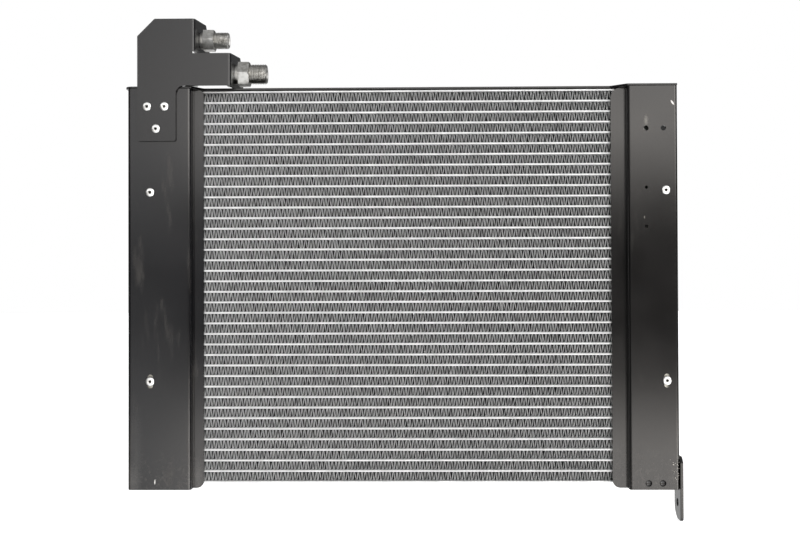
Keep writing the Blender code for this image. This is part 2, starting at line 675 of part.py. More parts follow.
def bracket_rivet_places():
    """World places of the bracket's three rivets, from the tab's lower left corner."""
    bottom = CHANNEL_TOP - BRACKET_TAB_LAP
    return [(BRACKET_LEFT + x, bottom + z) for x, z in BRACKET_RIVETS]


# ---------------------------------------------------------------- unions, nuts and pipes
def hex_mesh(name, across_flats, thickness):
    """A hexagonal prism along local Z, centred, with a corner on local Y."""
    build = bmesh.new()
    radius = across_flats / math.sqrt(3)
    bmesh.ops.create_cone(
        build, cap_ends=True, segments=6, radius1=radius, radius2=radius, depth=thickness)
    corner = next(iter(build.verts)).co
    turn = math.radians(90) - math.atan2(corner.y, corner.x)
    bmesh.ops.rotate(build, cent=(0, 0, 0), matrix=Matrix.Rotation(turn, 3, "Z"), verts=build.verts)
    mesh = bpy.data.meshes.new(name)
    build.to_mesh(mesh)
    build.free()
    return mesh


def build_union(name, flange_x, port_z, thread_radius, thread_length, across_flats):
    """A bulkhead union along +X: thread, hexagon, collar, shank and a pipe socket."""
    shank = thread_radius - SHANK_UNDERCUT
    collar = across_flats / 2 - 0.6 * MM
    hex_low = GAP + UNION_COLLAR
    hex_high = hex_low + HEX_THICKNESS
    top = hex_high + thread_length
    tail = -(SHEET + 2 * GAP + NUT_THICKNESS + SHANK_TAIL)
    profile = (
        (0, top), (thread_radius - THREAD_CHAMFER, top), (thread_radius, top - THREAD_CHAMFER),
        (thread_radius, hex_high - 0.5 * MM), (collar, hex_high - 0.5 * MM),
        (collar, GAP), (shank, GAP), (shank, tail), (0, tail))
    union = turned(name, profile, "zinc_plate")
    union.location = (flange_x, PORT_SETBACK, port_z)
    union.rotation_euler = (0, math.radians(90), 0)
    hexagon = add_cutter(f"{name}_hexagon", hex_mesh(f"{name}_hexagon", across_flats, HEX_THICKNESS))
    hexagon.location = (flange_x + (hex_low + hex_high) / 2, PORT_SETBACK, port_z)
    hexagon.rotation_euler = (0, math.radians(90), 0)
    cut(union, hexagon, "UNION")
    drill_x(union, f"{name}_bore", PORT_SETBACK, port_z, PORT_BORE_RADIUS,
            flange_x + tail - SHEET, flange_x + top + SHEET)
    drill_x(union, f"{name}_socket", PORT_SETBACK, port_z, PIPE_RADIUS + GAP,
            flange_x + tail - SHEET, flange_x + tail + PIPE_SOCKET_DEPTH + GAP, ROUND_SEGMENTS)
    return flange_x + tail


def build_lock_nut(name, flange_x, port_z, thread_radius, across_flats):
    """The nut that clamps a union to its flange from behind."""
    nut = add_part(name, hex_mesh(name, across_flats, NUT_THICKNESS), "zinc_plate")
    nut.location = (flange_x - SHEET - GAP - NUT_THICKNESS / 2, PORT_SETBACK, port_z)
    nut.rotation_euler = (0, math.radians(90), 0)
    hole = thread_radius - SHANK_UNDERCUT + GAP
    drill_x(nut, f"{name}_hole", PORT_SETBACK, port_z, hole, flange_x - SHEET - 2 * NUT_THICKNESS,
            flange_x, ROUND_SEGMENTS)


def rounded_route(corners, radius, steps=5):
    """A route with every inner corner turned into an arc of the given radius."""
    route = [Vector(corners[0])]
    for before, corner, after in zip(corners, corners[1:], corners[2:]):
        corner = Vector(corner)
        back = (Vector(before) - corner).normalized()
        ahead = (Vector(after) - corner).normalized()
        half = back.angle(ahead) / 2
        start = corner + back * (radius / math.tan(half))
        centre = corner + (back + ahead).normalized() * (radius / math.sin(half))
        first = start - centre
        last = corner + ahead * (radius / math.tan(half)) - centre
        sweep = first.angle(last)
        for step in range(steps + 1):
            share = step / steps
            near = math.sin((1 - share) * sweep) / math.sin(sweep)
            far = math.sin(share * sweep) / math.sin(sweep)
            route.append(centre + first * near + last * far)
    route.append(Vector(corners[-1]))
    return route


def tube_mesh(name, route, radius):
    """A closed round bar along a route, as a mesh."""
    curve = bpy.data.curves.new(name, "CURVE")
    curve.dimensions = "3D"
    curve.bevel_depth = radius
    curve.bevel_resolution = 3
    curve.use_fill_caps = True
    spline = curve.splines.new("POLY")
    spline.points.add(len(route) - 1)
    for point, place in zip(spline.points, route):
        point.co = (*place, 1.0)
    return curve_mesh(name, curve)


def build_pipe(name, corners):
    """A bent pipe with an open bore along the same route."""
    route = rounded_route(corners, PIPE_BEND_RADIUS)
    pipe = add_part(name, tube_mesh(name, route, PIPE_RADIUS), "header_aluminium")
    past_start = route[0] + (route[0] - route[1]).normalized() * PIPE_WALL
    past_end = route[-1] + (route[-1] - route[-2]).normalized() * PIPE_WALL
    bore_route = [past_start] + route[1:-1] + [past_end]
    bore = add_cutter(f"{name}_bore", tube_mesh(f"{name}_bore", bore_route, PIPE_RADIUS - PIPE_WALL))
    cut(pipe, bore)


def build_plumbing(header):
    """Both unions with their nuts and the pipes that join them to the left header."""
    upper_start = build_union(
        "upper_union", UPPER_FLANGE_X, UPPER_PORT_Z, UPPER_THREAD_RADIUS, UPPER_THREAD_LENGTH,
        UPPER_ACROSS_FLATS) + PIPE_SOCKET_DEPTH
    lower_start = build_union(
        "lower_union", LOWER_FLANGE_X, LOWER_PORT_Z, LOWER_THREAD_RADIUS, LOWER_THREAD_LENGTH,
        LOWER_ACROSS_FLATS) + PIPE_SOCKET_DEPTH
    build_lock_nut("upper_lock_nut", UPPER_FLANGE_X, UPPER_PORT_Z, UPPER_THREAD_RADIUS, UPPER_ACROSS_FLATS)
    build_lock_nut("lower_lock_nut", LOWER_FLANGE_X, LOWER_PORT_Z, LOWER_THREAD_RADIUS, LOWER_ACROSS_FLATS)
    upper_x = -HEADER_X - PIPE_SPACING / 2
    lower_x = -HEADER_X + PIPE_SPACING / 2
    pipe_end = HEADER_AXIS_Y + HEADER_RADIUS - HEADER_WALL
    upper_z = CORE_TOP - UPPER_PIPE_DROP
    lower_z = CORE_TOP - LOWER_PIPE_DROP
    build_pipe("upper_pipe", (
        (upper_start, PORT_SETBACK, UPPER_PORT_Z), (upper_x, PORT_SETBACK, UPPER_PORT_Z),
        (upper_x, PIPE_RUN_Y, LOWER_PORT_Z), (upper_x, PIPE_RUN_Y, upper_z), (upper_x, pipe_end, upper_z)))
    turn_x = UPPER_FLANGE_X + HEX_THICKNESS
    build_pipe("lower_pipe", (
        (lower_start, PORT_SETBACK, LOWER_PORT_Z), (turn_x, PORT_SETBACK, LOWER_PORT_Z),
        (lower_x, PIPE_RUN_Y, LOWER_PORT_Z), (lower_x, PIPE_RUN_Y, lower_z), (lower_x, pipe_end, lower_z)))
    for name, x, z in (("upper_inlet", upper_x, upper_z), ("lower_inlet", lower_x, lower_z)):
        drill_y(header, name, x, z, PIPE_RADIUS + GAP, HEADER_AXIS_Y + HEADER_BORE / 3, PIPE_RUN_Y,
                ROUND_SEGMENTS)


# ---------------------------------------------------------------- clips and rivets
def clip_path(side, rivet_x):
    """Mid-line of a header clip in plan: tab, leg, then round the header's back."""
    radius = HEADER_RADIUS + GAP + CLIP_SHEET / 2
    tab_y = SHEET + GAP + CLIP_SHEET / 2
    leg = rivet_x - CLIP_TAB_LENGTH / 2
    start = math.degrees(math.asin((leg - HEADER_X) / radius))
    bend = 1.5 * CLIP_SHEET
    path = [(rivet_x + CLIP_TAB_LENGTH / 2, tab_y)]
    path += arc((leg + bend, tab_y + bend), bend, 270, 180, BEND_SEGMENTS)
    path += arc((HEADER_X, HEADER_AXIS_Y), radius, -90 + start, 112, 14)
    return [(side * x, y) for x, y in path]


def build_clip(name, side, rivet_x, z):
    """A formed strap that holds a header to its channel."""
    path = clip_path(side, rivet_x)
    clip = add_part(name, sheet_mesh(name, path, z - CLIP_WIDTH / 2, z + CLIP_WIDTH / 2), "clip_steel")
    thicken(clip, CLIP_SHEET, 0)
    drill_y(clip, f"{name}_hole", side * rivet_x, z, RIVET_HOLE_RADIUS, SHEET / 2, SHEET + 3 * CLIP_SHEET)


def build_rivet(name, x, y_front, z, grip):
    """A blind rivet with a domed head; the grip is the sheets it holds."""
    head = RIVET_HEAD_HEIGHT
    rim = 0.35 * MM
    floor = head - RIVET_PIN_DEPTH
    bulb_top = -(grip + 2 * GAP)
    bulb_end = bulb_top - RIVET_BULB_LENGTH
    profile = [(0, floor), (RIVET_PIN_RADIUS, floor), (RIVET_PIN_RADIUS, head)]
    dome_span = RIVET_HEAD_RADIUS - RIVET_PIN_RADIUS
    for step in range(1, DOME_STEPS + 1):
        share = step / DOME_STEPS
        rise = (head - rim) * math.sqrt(1 - share * share)
        profile.append((RIVET_PIN_RADIUS + dome_span * share, rim + rise))
    profile += [(RIVET_HEAD_RADIUS, 0), (RIVET_SHANK_RADIUS, 0), (RIVET_SHANK_RADIUS, bulb_top)]
    profile += [(RIVET_BULB_RADIUS, bulb_top - 0.6 * MM), (RIVET_BULB_RADIUS, bulb_end + 1 * MM)]
    profile += [(RIVET_SHANK_RADIUS, bulb_end), (0, bulb_end)]
    rivet = turned(name, profile, "rivet_aluminium", SMALL_SEGMENTS)
    rivet.rotation_euler = (math.radians(90), 0, 0)
    rivet.location = (x, y_front - GAP, z)


def build_clips_and_rivets():
    """The four header clips with their rivets, and the bracket's three rivets."""
    grip = SHEET + GAP + CLIP_SHEET
    for side_name, side, outer, inset in (
            ("left", -1, LEFT_OUTER, LEFT_RIVET_INSET), ("right", 1, RIGHT_OUTER, RIGHT_RIVET_INSET)):
        rivet_x = outer - inset
        for level, z in (("upper", RIVET_HEIGHT), ("lower", -RIVET_HEIGHT)):
            build_clip(f"{side_name}_{level}_header_clip", side, rivet_x, z)
            build_rivet(f"{side_name}_{level}_rivet", side * rivet_x, 0, z, grip)
    for index, (x, z) in enumerate(bracket_rivet_places()):
        build_rivet(f"bracket_rivet_{index + 1}", x, BRACKET_FRONT, z, 2 * SHEET + GAP)


# ---------------------------------------------------------------- assembly
clear_scene()
PARTS = new_collection("hydraulic_oil_cooler")
CUTTERS = new_collection("cutters")
MATERIALS = {name: make_material(name) for name in COLOURS}
ORIGIN = add_object("cooler_origin", None, PARTS)
ORIGIN.location = -BOX_CENTRE

build_core_packs()
build_side_plates()
left_header = build_header("left_header", -1)
build_header("right_header", 1)
build_caps("left_header", -1)
build_caps("right_header", 1)
build_baffle()
build_left_channel()
build_right_channel()
build_top_rail()
build_mounting_ear()
build_bracket()
build_plumbing(left_header)
build_clips_and_rivets()
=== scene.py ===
"""Looks of a hydraulic oil cooler: a brazed tube-and-fin core in a folded, black-coated frame.

Lengths are metres in the frame's own axes: +X to the cooler's right seen from its front, +Y
towards its back and +Z up.  Places come from the corners of the frame's solids, and most
pieces that are built here stand for one or more of them.
"""
import logging  # noqa: E402
import math  # noqa: E402
import random  # noqa: E402
from dataclasses import dataclass, field  # noqa: E402
from enum import Enum  # noqa: E402
from typing import Callable, Iterable, Sequence  # noqa: E402

import bmesh  # noqa: E402
import bpy  # noqa: E402
from mathutils import Matrix, Vector  # noqa: E402


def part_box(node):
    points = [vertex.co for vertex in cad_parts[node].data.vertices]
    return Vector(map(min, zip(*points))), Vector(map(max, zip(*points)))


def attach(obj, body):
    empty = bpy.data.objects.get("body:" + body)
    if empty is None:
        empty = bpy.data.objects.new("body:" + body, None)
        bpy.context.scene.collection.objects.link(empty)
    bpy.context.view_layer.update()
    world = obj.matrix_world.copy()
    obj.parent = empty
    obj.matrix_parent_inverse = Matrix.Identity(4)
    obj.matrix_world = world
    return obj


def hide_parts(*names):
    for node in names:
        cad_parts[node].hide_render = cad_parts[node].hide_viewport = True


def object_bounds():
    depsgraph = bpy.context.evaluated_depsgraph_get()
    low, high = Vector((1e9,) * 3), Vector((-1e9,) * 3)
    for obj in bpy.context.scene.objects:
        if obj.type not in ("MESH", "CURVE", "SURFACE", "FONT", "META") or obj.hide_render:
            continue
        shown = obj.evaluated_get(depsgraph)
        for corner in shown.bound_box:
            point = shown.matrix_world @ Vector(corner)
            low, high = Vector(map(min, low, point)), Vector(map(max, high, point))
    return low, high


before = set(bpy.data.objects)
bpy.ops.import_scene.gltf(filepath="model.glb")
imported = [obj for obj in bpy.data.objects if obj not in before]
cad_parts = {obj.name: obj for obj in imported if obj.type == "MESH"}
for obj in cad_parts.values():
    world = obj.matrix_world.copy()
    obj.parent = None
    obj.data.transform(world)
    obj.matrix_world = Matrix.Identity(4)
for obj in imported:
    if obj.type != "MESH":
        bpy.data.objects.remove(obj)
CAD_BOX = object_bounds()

LOG = logging.getLogger("oil_cooler")
MM = 0.001
BODY = "root"

Point2 = tuple[float, float]
Box = tuple[Vector, Vector]
Colour = tuple[float, float, float, float]
Tree = bpy.types.NodeTree
Socket = bpy.types.NodeSocket


class Side(Enum):
    """A side of the cooler, with the sign of its X."""

    LEFT = -1
    RIGHT = 1

    @property
    def word(self) -> str:
        """The side's name as it stands in the names of pieces."""
        return self.name.lower()


class Slot(Enum):
    """The record's material slots."""

    CORE = "core_aluminium"
    HEADER = "header_aluminium"
    PAINT = "black_paint"
    BRACKET = "bracket_paint"
    ZINC = "zinc_plate"
    CLIP = "clip_steel"
    RIVET = "rivet_aluminium"


# ---------------------------------------------------------------- colours and nodes
def linear(hex_colour: str) -> Colour:
    """Turn an sRGB hex value into linear light.

    Args:
        hex_colour: Six hex digits, such as "1f1e1d".

    Returns:
        Linear red, green, blue and an alpha of one.
    """
    channels = []
    for start in (0, 2, 4):
        value = int(hex_colour[start:start + 2], 16) / 255
        channels.append(value / 12.92 if value <= 0.04045 else ((value + 0.055) / 1.055) ** 2.4)
    return (*channels, 1.0)


def grey(value: float) -> Colour:
    """A linear grey, for ramps that carry a value."""
    return (value, value, value, 1.0)


def add_node(tree: Tree, kind: str, settings: dict | None = None) -> bpy.types.Node:
    """Add a node with its settings and links.

    Args:
        tree: The material's or the world's node tree.
        kind: The node's type name.
        settings: A value, or the output socket that feeds it, by attribute name or by the
            name or number of an input.  The stops of a ramp go under "stops".

    Returns:
        The new node.
    """
    node = tree.nodes.new(kind)
    for name, value in (settings or {}).items():
        if name == "stops":
            while len(node.color_ramp.elements) < len(value):
                node.color_ramp.elements.new(0.5)
            for element, (place, colour) in zip(node.color_ramp.elements, value):
                element.position = place
                element.color = colour
        elif isinstance(value, bpy.types.NodeSocket):
            tree.links.new(value, node.inputs[name])
        elif isinstance(name, str) and hasattr(node, name):
            setattr(node, name, value)
        else:
            node.inputs[name].default_value = value
    return node


def new_tree(name: str) -> tuple[bpy.types.Material, Tree, bpy.types.Node]:
    """A material with a bare Principled shader.

    Args:
        name: The material's name.

    Returns:
        The material, its tree and its shader.
    """
    material = bpy.data.materials.new(name)
    material.use_nodes = True
    return material, material.node_tree, material.node_tree.nodes["Principled BSDF"]


def object_place(tree: Tree) -> Socket:
    """The surface point in the frame's own metres."""
    return add_node(tree, "ShaderNodeTexCoord").outputs["Object"]


def patches_of(
    tree: Tree, place: Socket, size: float, detail: float = 3.0,
    stretch: tuple[float, float, float] = (1.0, 1.0, 1.0)
) -> Socket:
    """A cloudy pattern with patches of a real size.

    Args:
        tree: The node tree.
        place: The point that the pattern is read at.
        size: The patches' size in metres.
        detail: Octaves of finer pattern.
        stretch: How many times longer the patches are along each axis.

    Returns:
        A value around one half.
    """
    scale = tuple(1.0 / (size * along) for along in stretch)
    moved = add_node(tree, "ShaderNodeMapping", {"Scale": scale, "Vector": place})
    made = add_node(
        tree, "ShaderNodeTexNoise", {"Scale": 1.0, "Detail": detail, "Vector": moved.outputs[0]})
    return made.outputs["Fac"]


def lay_colours(
    tree: Tree, shader: bpy.types.Node, ground: Colour, layers: Iterable[tuple[Socket, Colour]]
) -> None:
    """Lay colours over a ground colour and give the shader the result.

    Args:
        tree: The node tree.
        shader: The Principled shader.
        ground: The colour under all others.
        layers: How much of each colour shows at each place, and the colour, the lowest first.
    """
    tint: Colour | Socket = ground
    for share, colour in layers:
        tint = add_node(
            tree, "ShaderNodeMix", {"data_type": "RGBA", 0: share, 6: tint, 7: colour}).outputs[2]
    tree.links.new(tint, shader.inputs["Base Color"])


# ---------------------------------------------------------------- finishes
@dataclass(frozen=True)
class CoatMark:
    """A chip or a rubbed smear at one place on a front face."""

    x: float
    z: float
    width: float                    # half of its size across
    height: float                   # half of its size up
    turn: float = 0.0               # degrees, anticlockwise
    colour: str = "d9d7d3"
    strength: float = 1.0
    softness: float = 0.3           # share of its size over which it fades
    ragged: float = 0.9             # how far its rim wanders
    rim: float = 1.45               # reach of its rim, with half of that wander

    def share(self, tree: Tree, place: Socket) -> Socket:
        """How much of the mark shows at each place.

        Args:
            tree: The coat's node tree.
            place: The surface point.

        Returns:
            The share, from 0 to the mark's strength.
        """
        local = add_node(tree, "ShaderNodeMapping", {
            "vector_type": "TEXTURE", "Location": (self.x, 0.0, self.z),
            "Rotation": (0.0, -math.radians(self.turn), 0.0), "Scale": (self.width, 1.0, self.height),
            "Vector": place})
        flat = add_node(
            tree, "ShaderNodeVectorMath",
            {"operation": "MULTIPLY", 0: local.outputs[0], 1: (1.0, 0.0, 1.0)})
        reach = add_node(tree, "ShaderNodeVectorMath", {"operation": "LENGTH", 0: flat.outputs[0]})
        wander = patches_of(tree, place, 1.2 * MM, 3.0)
        rim = add_node(tree, "ShaderNodeMath", {
            "operation": "MULTIPLY_ADD", 0: wander, 1: self.ragged, 2: reach.outputs["Value"]})
        return add_node(tree, "ShaderNodeMapRange", {
            "From Min": self.rim, "From Max": self.rim - self.softness, "To Min": 0.0,
            "To Max": self.strength, "Value": rim.outputs[0]}).outputs[0]


@dataclass(frozen=True)
class PowderCoat:
    """Satin black powder coat, sprayed dry on steel and baked."""

    # To the eye: an even near-black film with a faint orange peel that mirrors the room softly,
    # greyed where hands and tools have rubbed it and speckled with dust towards its foot.
    name: str
    colour: str = "100f0f"
    dust: str = "3c3936"
    roughness: float = 0.14
    peel: float = 2.2 * MM          # width of a bump of the film
    peel_height: float = 0.012 * MM
    scuffs: float = 0.5             # share of the surface that handling has marked
    dusty_low: float = 0.0          # height below which dust and scuffs gather
    dusty_span: float = 0.06
    marks: tuple[CoatMark, ...] = ()

    def build(self) -> bpy.types.Material:
        """The coat's material, with handling marks, a little dust and worn specks."""
        material, tree, shader = new_tree(self.name)
        place = object_place(tree)
        clouds = patches_of(tree, place, 45 * MM, 4.0)
        handled = patches_of(tree, place, 9 * MM, 6.0, (1.0, 1.0, 5.0))
        film = add_node(
            tree, "ShaderNodeValToRGB", {"stops": ((0.3, grey(0.0)), (0.8, grey(1.0))), 0: clouds})
        rubbed = add_node(tree, "ShaderNodeValToRGB", {
            "stops": ((0.66 - 0.12 * self.scuffs, grey(0.0)), (0.80, grey(self.scuffs))),
            0: handled}).outputs[0]
        layers = [
            (film.outputs[0], linear(self.lighter())), (rubbed, linear(self.dust)),
            (self.low_dust(tree, place), linear(self.dust))]
        layers += [(mark.share(tree, place), linear(mark.colour)) for mark in self.marks]
        lay_colours(tree, shader, linear(self.colour), layers)
        rough = add_node(tree, "ShaderNodeMapRange", {
            "To Min": self.roughness - 0.03, "To Max": self.roughness + 0.05, "Value": clouds})
        rough = add_node(
            tree, "ShaderNodeMath",
            {"operation": "MULTIPLY_ADD", 0: rubbed, 1: 0.16, 2: rough.outputs[0]})
        tree.links.new(rough.outputs[0], shader.inputs["Roughness"])
        peel = add_node(tree, "ShaderNodeBump", {
            "Distance": self.peel_height, "Strength": 0.5,
            "Height": patches_of(tree, place, self.peel, 2.0)})
        tree.links.new(peel.outputs[0], shader.inputs["Normal"])
        shader.inputs["IOR"].default_value = 1.5
        return material

    def lighter(self) -> str:
        """The coat's colour where the film is thinner, a little lighter."""
        channels = [int(self.colour[start:start + 2], 16) + 8 for start in (0, 2, 4)]
        return "".join(f"{min(value, 255):02x}" for value in channels)

    def low_dust(self, tree: Tree, place: Socket) -> Socket:
        """Specks of dust that thicken towards the foot of the frame.

        Args:
            tree: The coat's node tree.
            place: The surface point.

        Returns:
            The share of dust at each place.
        """
        height = add_node(tree, "ShaderNodeSeparateXYZ", {0: place}).outputs[2]
        share = add_node(tree, "ShaderNodeMapRange", {
            "From Min": self.dusty_low + self.dusty_span, "From Max": self.dusty_low,
            "To Min": 0.0, "To Max": 0.75, "Value": height})
        specks = add_node(tree, "ShaderNodeValToRGB", {
            "stops": ((0.50, grey(0.0)), (0.72, grey(1.0))),
            0: patches_of(tree, place, 2.6 * MM, 5.0)})
        return add_node(
            tree, "ShaderNodeMath",
            {"operation": "MULTIPLY", 0: share.outputs[0], 1: specks.outputs[0]}).outputs[0]


@dataclass(frozen=True)
class MillAluminium:
    """Aluminium as it leaves the mill and the brazing oven."""

    # To the eye: bare pale metal, matt, faintly streaked along the way it was drawn and
    # clouded where flux has dulled it.
    name: str
    colour: str = "d8d8d6"
    shade: str = "a9aaa9"
    roughness: float = 0.38
    streak: tuple[float, float, float] = (30.0, 1.0, 1.0)   # drawn along this axis
    grain: float = 0.7 * MM
    metallic: float = 1.0

    def build(self) -> bpy.types.Material:
        """The metal with rolling streaks and dull patches of flux."""
        material, tree, shader = new_tree(self.name)
        place = object_place(tree)
        streaks = patches_of(tree, place, self.grain, 3.0, self.streak)
        patches = patches_of(tree, place, 14 * MM, 5.0)
        blend = add_node(
            tree, "ShaderNodeMath", {"operation": "MULTIPLY_ADD", 0: streaks, 1: 0.5, 2: patches})
        share = add_node(tree, "ShaderNodeValToRGB", {
            "stops": ((0.55, grey(0.0)), (1.0, grey(1.0))), 0: blend.outputs[0]})
        lay_colours(tree, shader, linear(self.colour), [(share.outputs[0], linear(self.shade))])
        rough = add_node(tree, "ShaderNodeMapRange", {
            "To Min": self.roughness - 0.06, "To Max": self.roughness + 0.14, "Value": patches})
        tree.links.new(rough.outputs[0], shader.inputs["Roughness"])
        bump = add_node(
            tree, "ShaderNodeBump", {"Distance": 0.02 * MM, "Strength": 0.5, "Height": streaks})
        tree.links.new(bump.outputs[0], shader.inputs["Normal"])
        shader.inputs["Metallic"].default_value = self.metallic
        return material


@dataclass(frozen=True)
class FinFoil:
    """Rolled aluminium foil, folded and brazed."""

    # To the eye: bright on the cut edge at the front, and soon dark behind it: painted shade
    # deep in the passages, where little light reaches between the folds.
    name: str
    front: float                    # Y of the front edge
    back: float                     # Y of the back edge
    colour: str = "dcdddd"
    # The colour of the painted shade in the passages, and of the random dull blotches.
    deep: str = "161717"
    roughness: float = 0.55
    painted_shade_reach: float = 0.17              # share of the way to the middle over which it darkens

    def build(self) -> bpy.types.Material:
        """The foil, with painted shade that darkens the middle of its depth."""
        material, tree, shader = new_tree(self.name)
        place = object_place(tree)
        depth = add_node(tree, "ShaderNodeSeparateXYZ", {0: place}).outputs[1]
        middle = (self.front + self.back) / 2
        inward, outward = (
            add_node(tree, "ShaderNodeMapRange", {
                "From Min": edge, "From Max": middle, "To Min": 0.0, "To Max": 1.0, "Value": depth})
            for edge in (self.front, self.back))
        nearer = add_node(
            tree, "ShaderNodeMath",
            {"operation": "MINIMUM", 0: inward.outputs[0], 1: outward.outputs[0]})
        # Painted shade: the colour darkens from the front and back edges towards the middle of the depth.
        soft = add_node(tree, "ShaderNodeValToRGB", {
            "stops": ((0.0, grey(0.0)), (self.painted_shade_reach, grey(1.0))), 0: nearer.outputs[0]})
        blotches = patches_of(tree, place, 6 * MM, 4.0)
        worn = add_node(tree, "ShaderNodeValToRGB", {
            "stops": ((0.45, grey(0.0)), (0.75, grey(0.5))), 0: blotches})
        # The dark colour serves both as painted shade in the passages and as random dull blotches.
        deep = linear(self.deep)
        lay_colours(tree, shader, linear(self.colour), [(soft.outputs[0], deep), (worn.outputs[0], deep)])
        rough = add_node(tree, "ShaderNodeMapRange", {
            "To Min": self.roughness - 0.08, "To Max": self.roughness + 0.12, "Value": blotches})
        tree.links.new(rough.outputs[0], shader.inputs["Roughness"])
        shader.inputs["Metallic"].default_value = 0.4
        return material


@dataclass(frozen=True)
class ZincPlate:
    """Turned or stamped steel with a thin zinc plate."""

    # To the eye: grey metal, a little warm, with fine tool rings and dull stains.
    name: str
    colour: str = "c6c5c2"
    stain: str = "8c8a85"
    roughness: float = 0.34
    ring: float = 0.25 * MM         # feed of the turning tool, drawn coarse enough to show
    rings_along: tuple[float, float, float] = (1.0, 60.0, 60.0)

    def build(self) -> bpy.types.Material:
        """The plated metal, with tool rings and stains from handling."""
        material, tree, shader = new_tree(self.name)
        place = object_place(tree)
        rings = patches_of(tree, place, self.ring, 1.0, self.rings_along)
        stains = patches_of(tree, place, 5 * MM, 5.0)
        share = add_node(tree, "ShaderNodeValToRGB", {
            "stops": ((0.42, grey(0.0)), (0.72, grey(1.0))), 0: stains})
        lay_colours(tree, shader, linear(self.colour), [(share.outputs[0], linear(self.stain))])
        rough = add_node(tree, "ShaderNodeMapRange", {
            "To Min": self.roughness - 0.07, "To Max": self.roughness + 0.2, "Value": stains})
        tree.links.new(rough.outputs[0], shader.inputs["Roughness"])
        bump = add_node(
            tree, "ShaderNodeBump", {"Distance": 0.03 * MM, "Strength": 0.6, "Height": rings})
        tree.links.new(bump.outputs[0], shader.inputs["Normal"])
        shader.inputs["Metallic"].default_value = 1.0
        return material


@dataclass(frozen=True)
class SeamlessPaper:
    """A white paper sweep."""

    # To the eye: matt white, with no texture that shows.
    name: str
    colour: str = "fbfbfb"
    fibre: str = "f6f6f6"
    glow: float = 0.8

    def build(self) -> bpy.types.Material:
        """The paper's material."""
        material, tree, shader = new_tree(self.name)
        fibres = patches_of(tree, object_place(tree), 3 * MM, 2.0)
        lay_colours(tree, shader, linear(self.colour), [(fibres, linear(self.fibre))])
        shader.inputs["Roughness"].default_value = 0.9
        shader.inputs["Emission Color"].default_value = (1.0, 1.0, 1.0, 1.0)
        shader.inputs["Emission Strength"].default_value = self.glow
        return material


# ---------------------------------------------------------------- outlines and meshes
def arc(centre: Point2, radius: float, start: float, end: float, steps: int) -> list[Point2]:
    """Points of an arc.

    Args:
        centre: The arc's centre.
        radius: Its radius.
        start: First angle in degrees.
        end: Last angle in degrees.
        steps: Number of chords.

    Returns:
        The points, both ends among them.
    """
    points = []
    for step in range(steps + 1):
        angle = math.radians(start + (end - start) * step / steps)
        points.append((centre[0] + radius * math.cos(angle), centre[1] + radius * math.sin(angle)))
    return points


def offset_path(path: Sequence[Point2], distance: float) -> list[Point2]:
    """Shift an open path sideways with mitred corners.

    Args:
        path: The path's points.
        distance: How far to its left.

    Returns:
        As many points as the path has.
    """
    normals = []
    for (x0, y0), (x1, y1) in zip(path, path[1:]):
        length = math.hypot(x1 - x0, y1 - y0)
        normals.append(((y0 - y1) / length, (x1 - x0) / length))
    joined = [normals[0]]
    for (ax, ay), (bx, by) in zip(normals, normals[1:]):
        scale = 1.0 + ax * bx + ay * by
        joined.append(((ax + bx) / scale, (ay + by) / scale))
    joined.append(normals[-1])
    return [(x + distance * nx, y + distance * ny) for (x, y), (nx, ny) in zip(path, joined)]


def mesh_of(name: str, points: Iterable[Sequence[float]], faces: Iterable[Sequence[int]]) -> bpy.types.Mesh:
    """A mesh with its faces turned out.

    Args:
        name: The mesh's name.
        points: Vertex places.
        faces: Vertex numbers of each face.

    Returns:
        The mesh.
    """
    mesh = bpy.data.meshes.new(name)
    mesh.from_pydata([tuple(point) for point in points], [], [tuple(face) for face in faces])
    build = bmesh.new()
    build.from_mesh(mesh)
    bmesh.ops.recalc_face_normals(build, faces=build.faces)
    build.to_mesh(mesh)
    build.free()
    return mesh


def prism(
    name: str, outline: Sequence[Point2], low: float, high: float, axes: str = "XYZ"
) -> bpy.types.Mesh:
    """A closed prism.

    Args:
        name: The mesh's name.
        outline: Its section.
        low: Where it starts along its length.
        high: Where it ends.
        axes: The axes of the outline's two values and of the length, such as "YZX".

    Returns:
        The mesh.
    """
    order = ["XYZ".index(letter) for letter in axes]
    points = []
    for along in (low, high):
        for first, second in outline:
            point = [0.0, 0.0, 0.0]
            for axis, value in zip(order, (first, second, along)):
                point[axis] = value
            points.append(point)
    count = len(outline)
    faces = [list(range(count)), list(range(2 * count - 1, count - 1, -1))]
    for index in range(count):
        after = (index + 1) % count
        faces.append([index, after, count + after, count + index])
    return mesh_of(name, points, faces)


def folded(name: str, path: Sequence[Point2], thickness: float, low: float, high: float) -> bpy.types.Mesh:
    """Sheet folded along a path in plan, as a closed solid.

    Args:
        name: The mesh's name.
        path: One face of the sheet, in XY.
        thickness: How far the other face lies to the path's left.
        low: Height of its foot.
        high: Height of its head.

    Returns:
        The mesh.
    """
    return prism(name, list(path) + offset_path(path, thickness)[::-1], low, high)


Radius = Callable[[float, float], float]


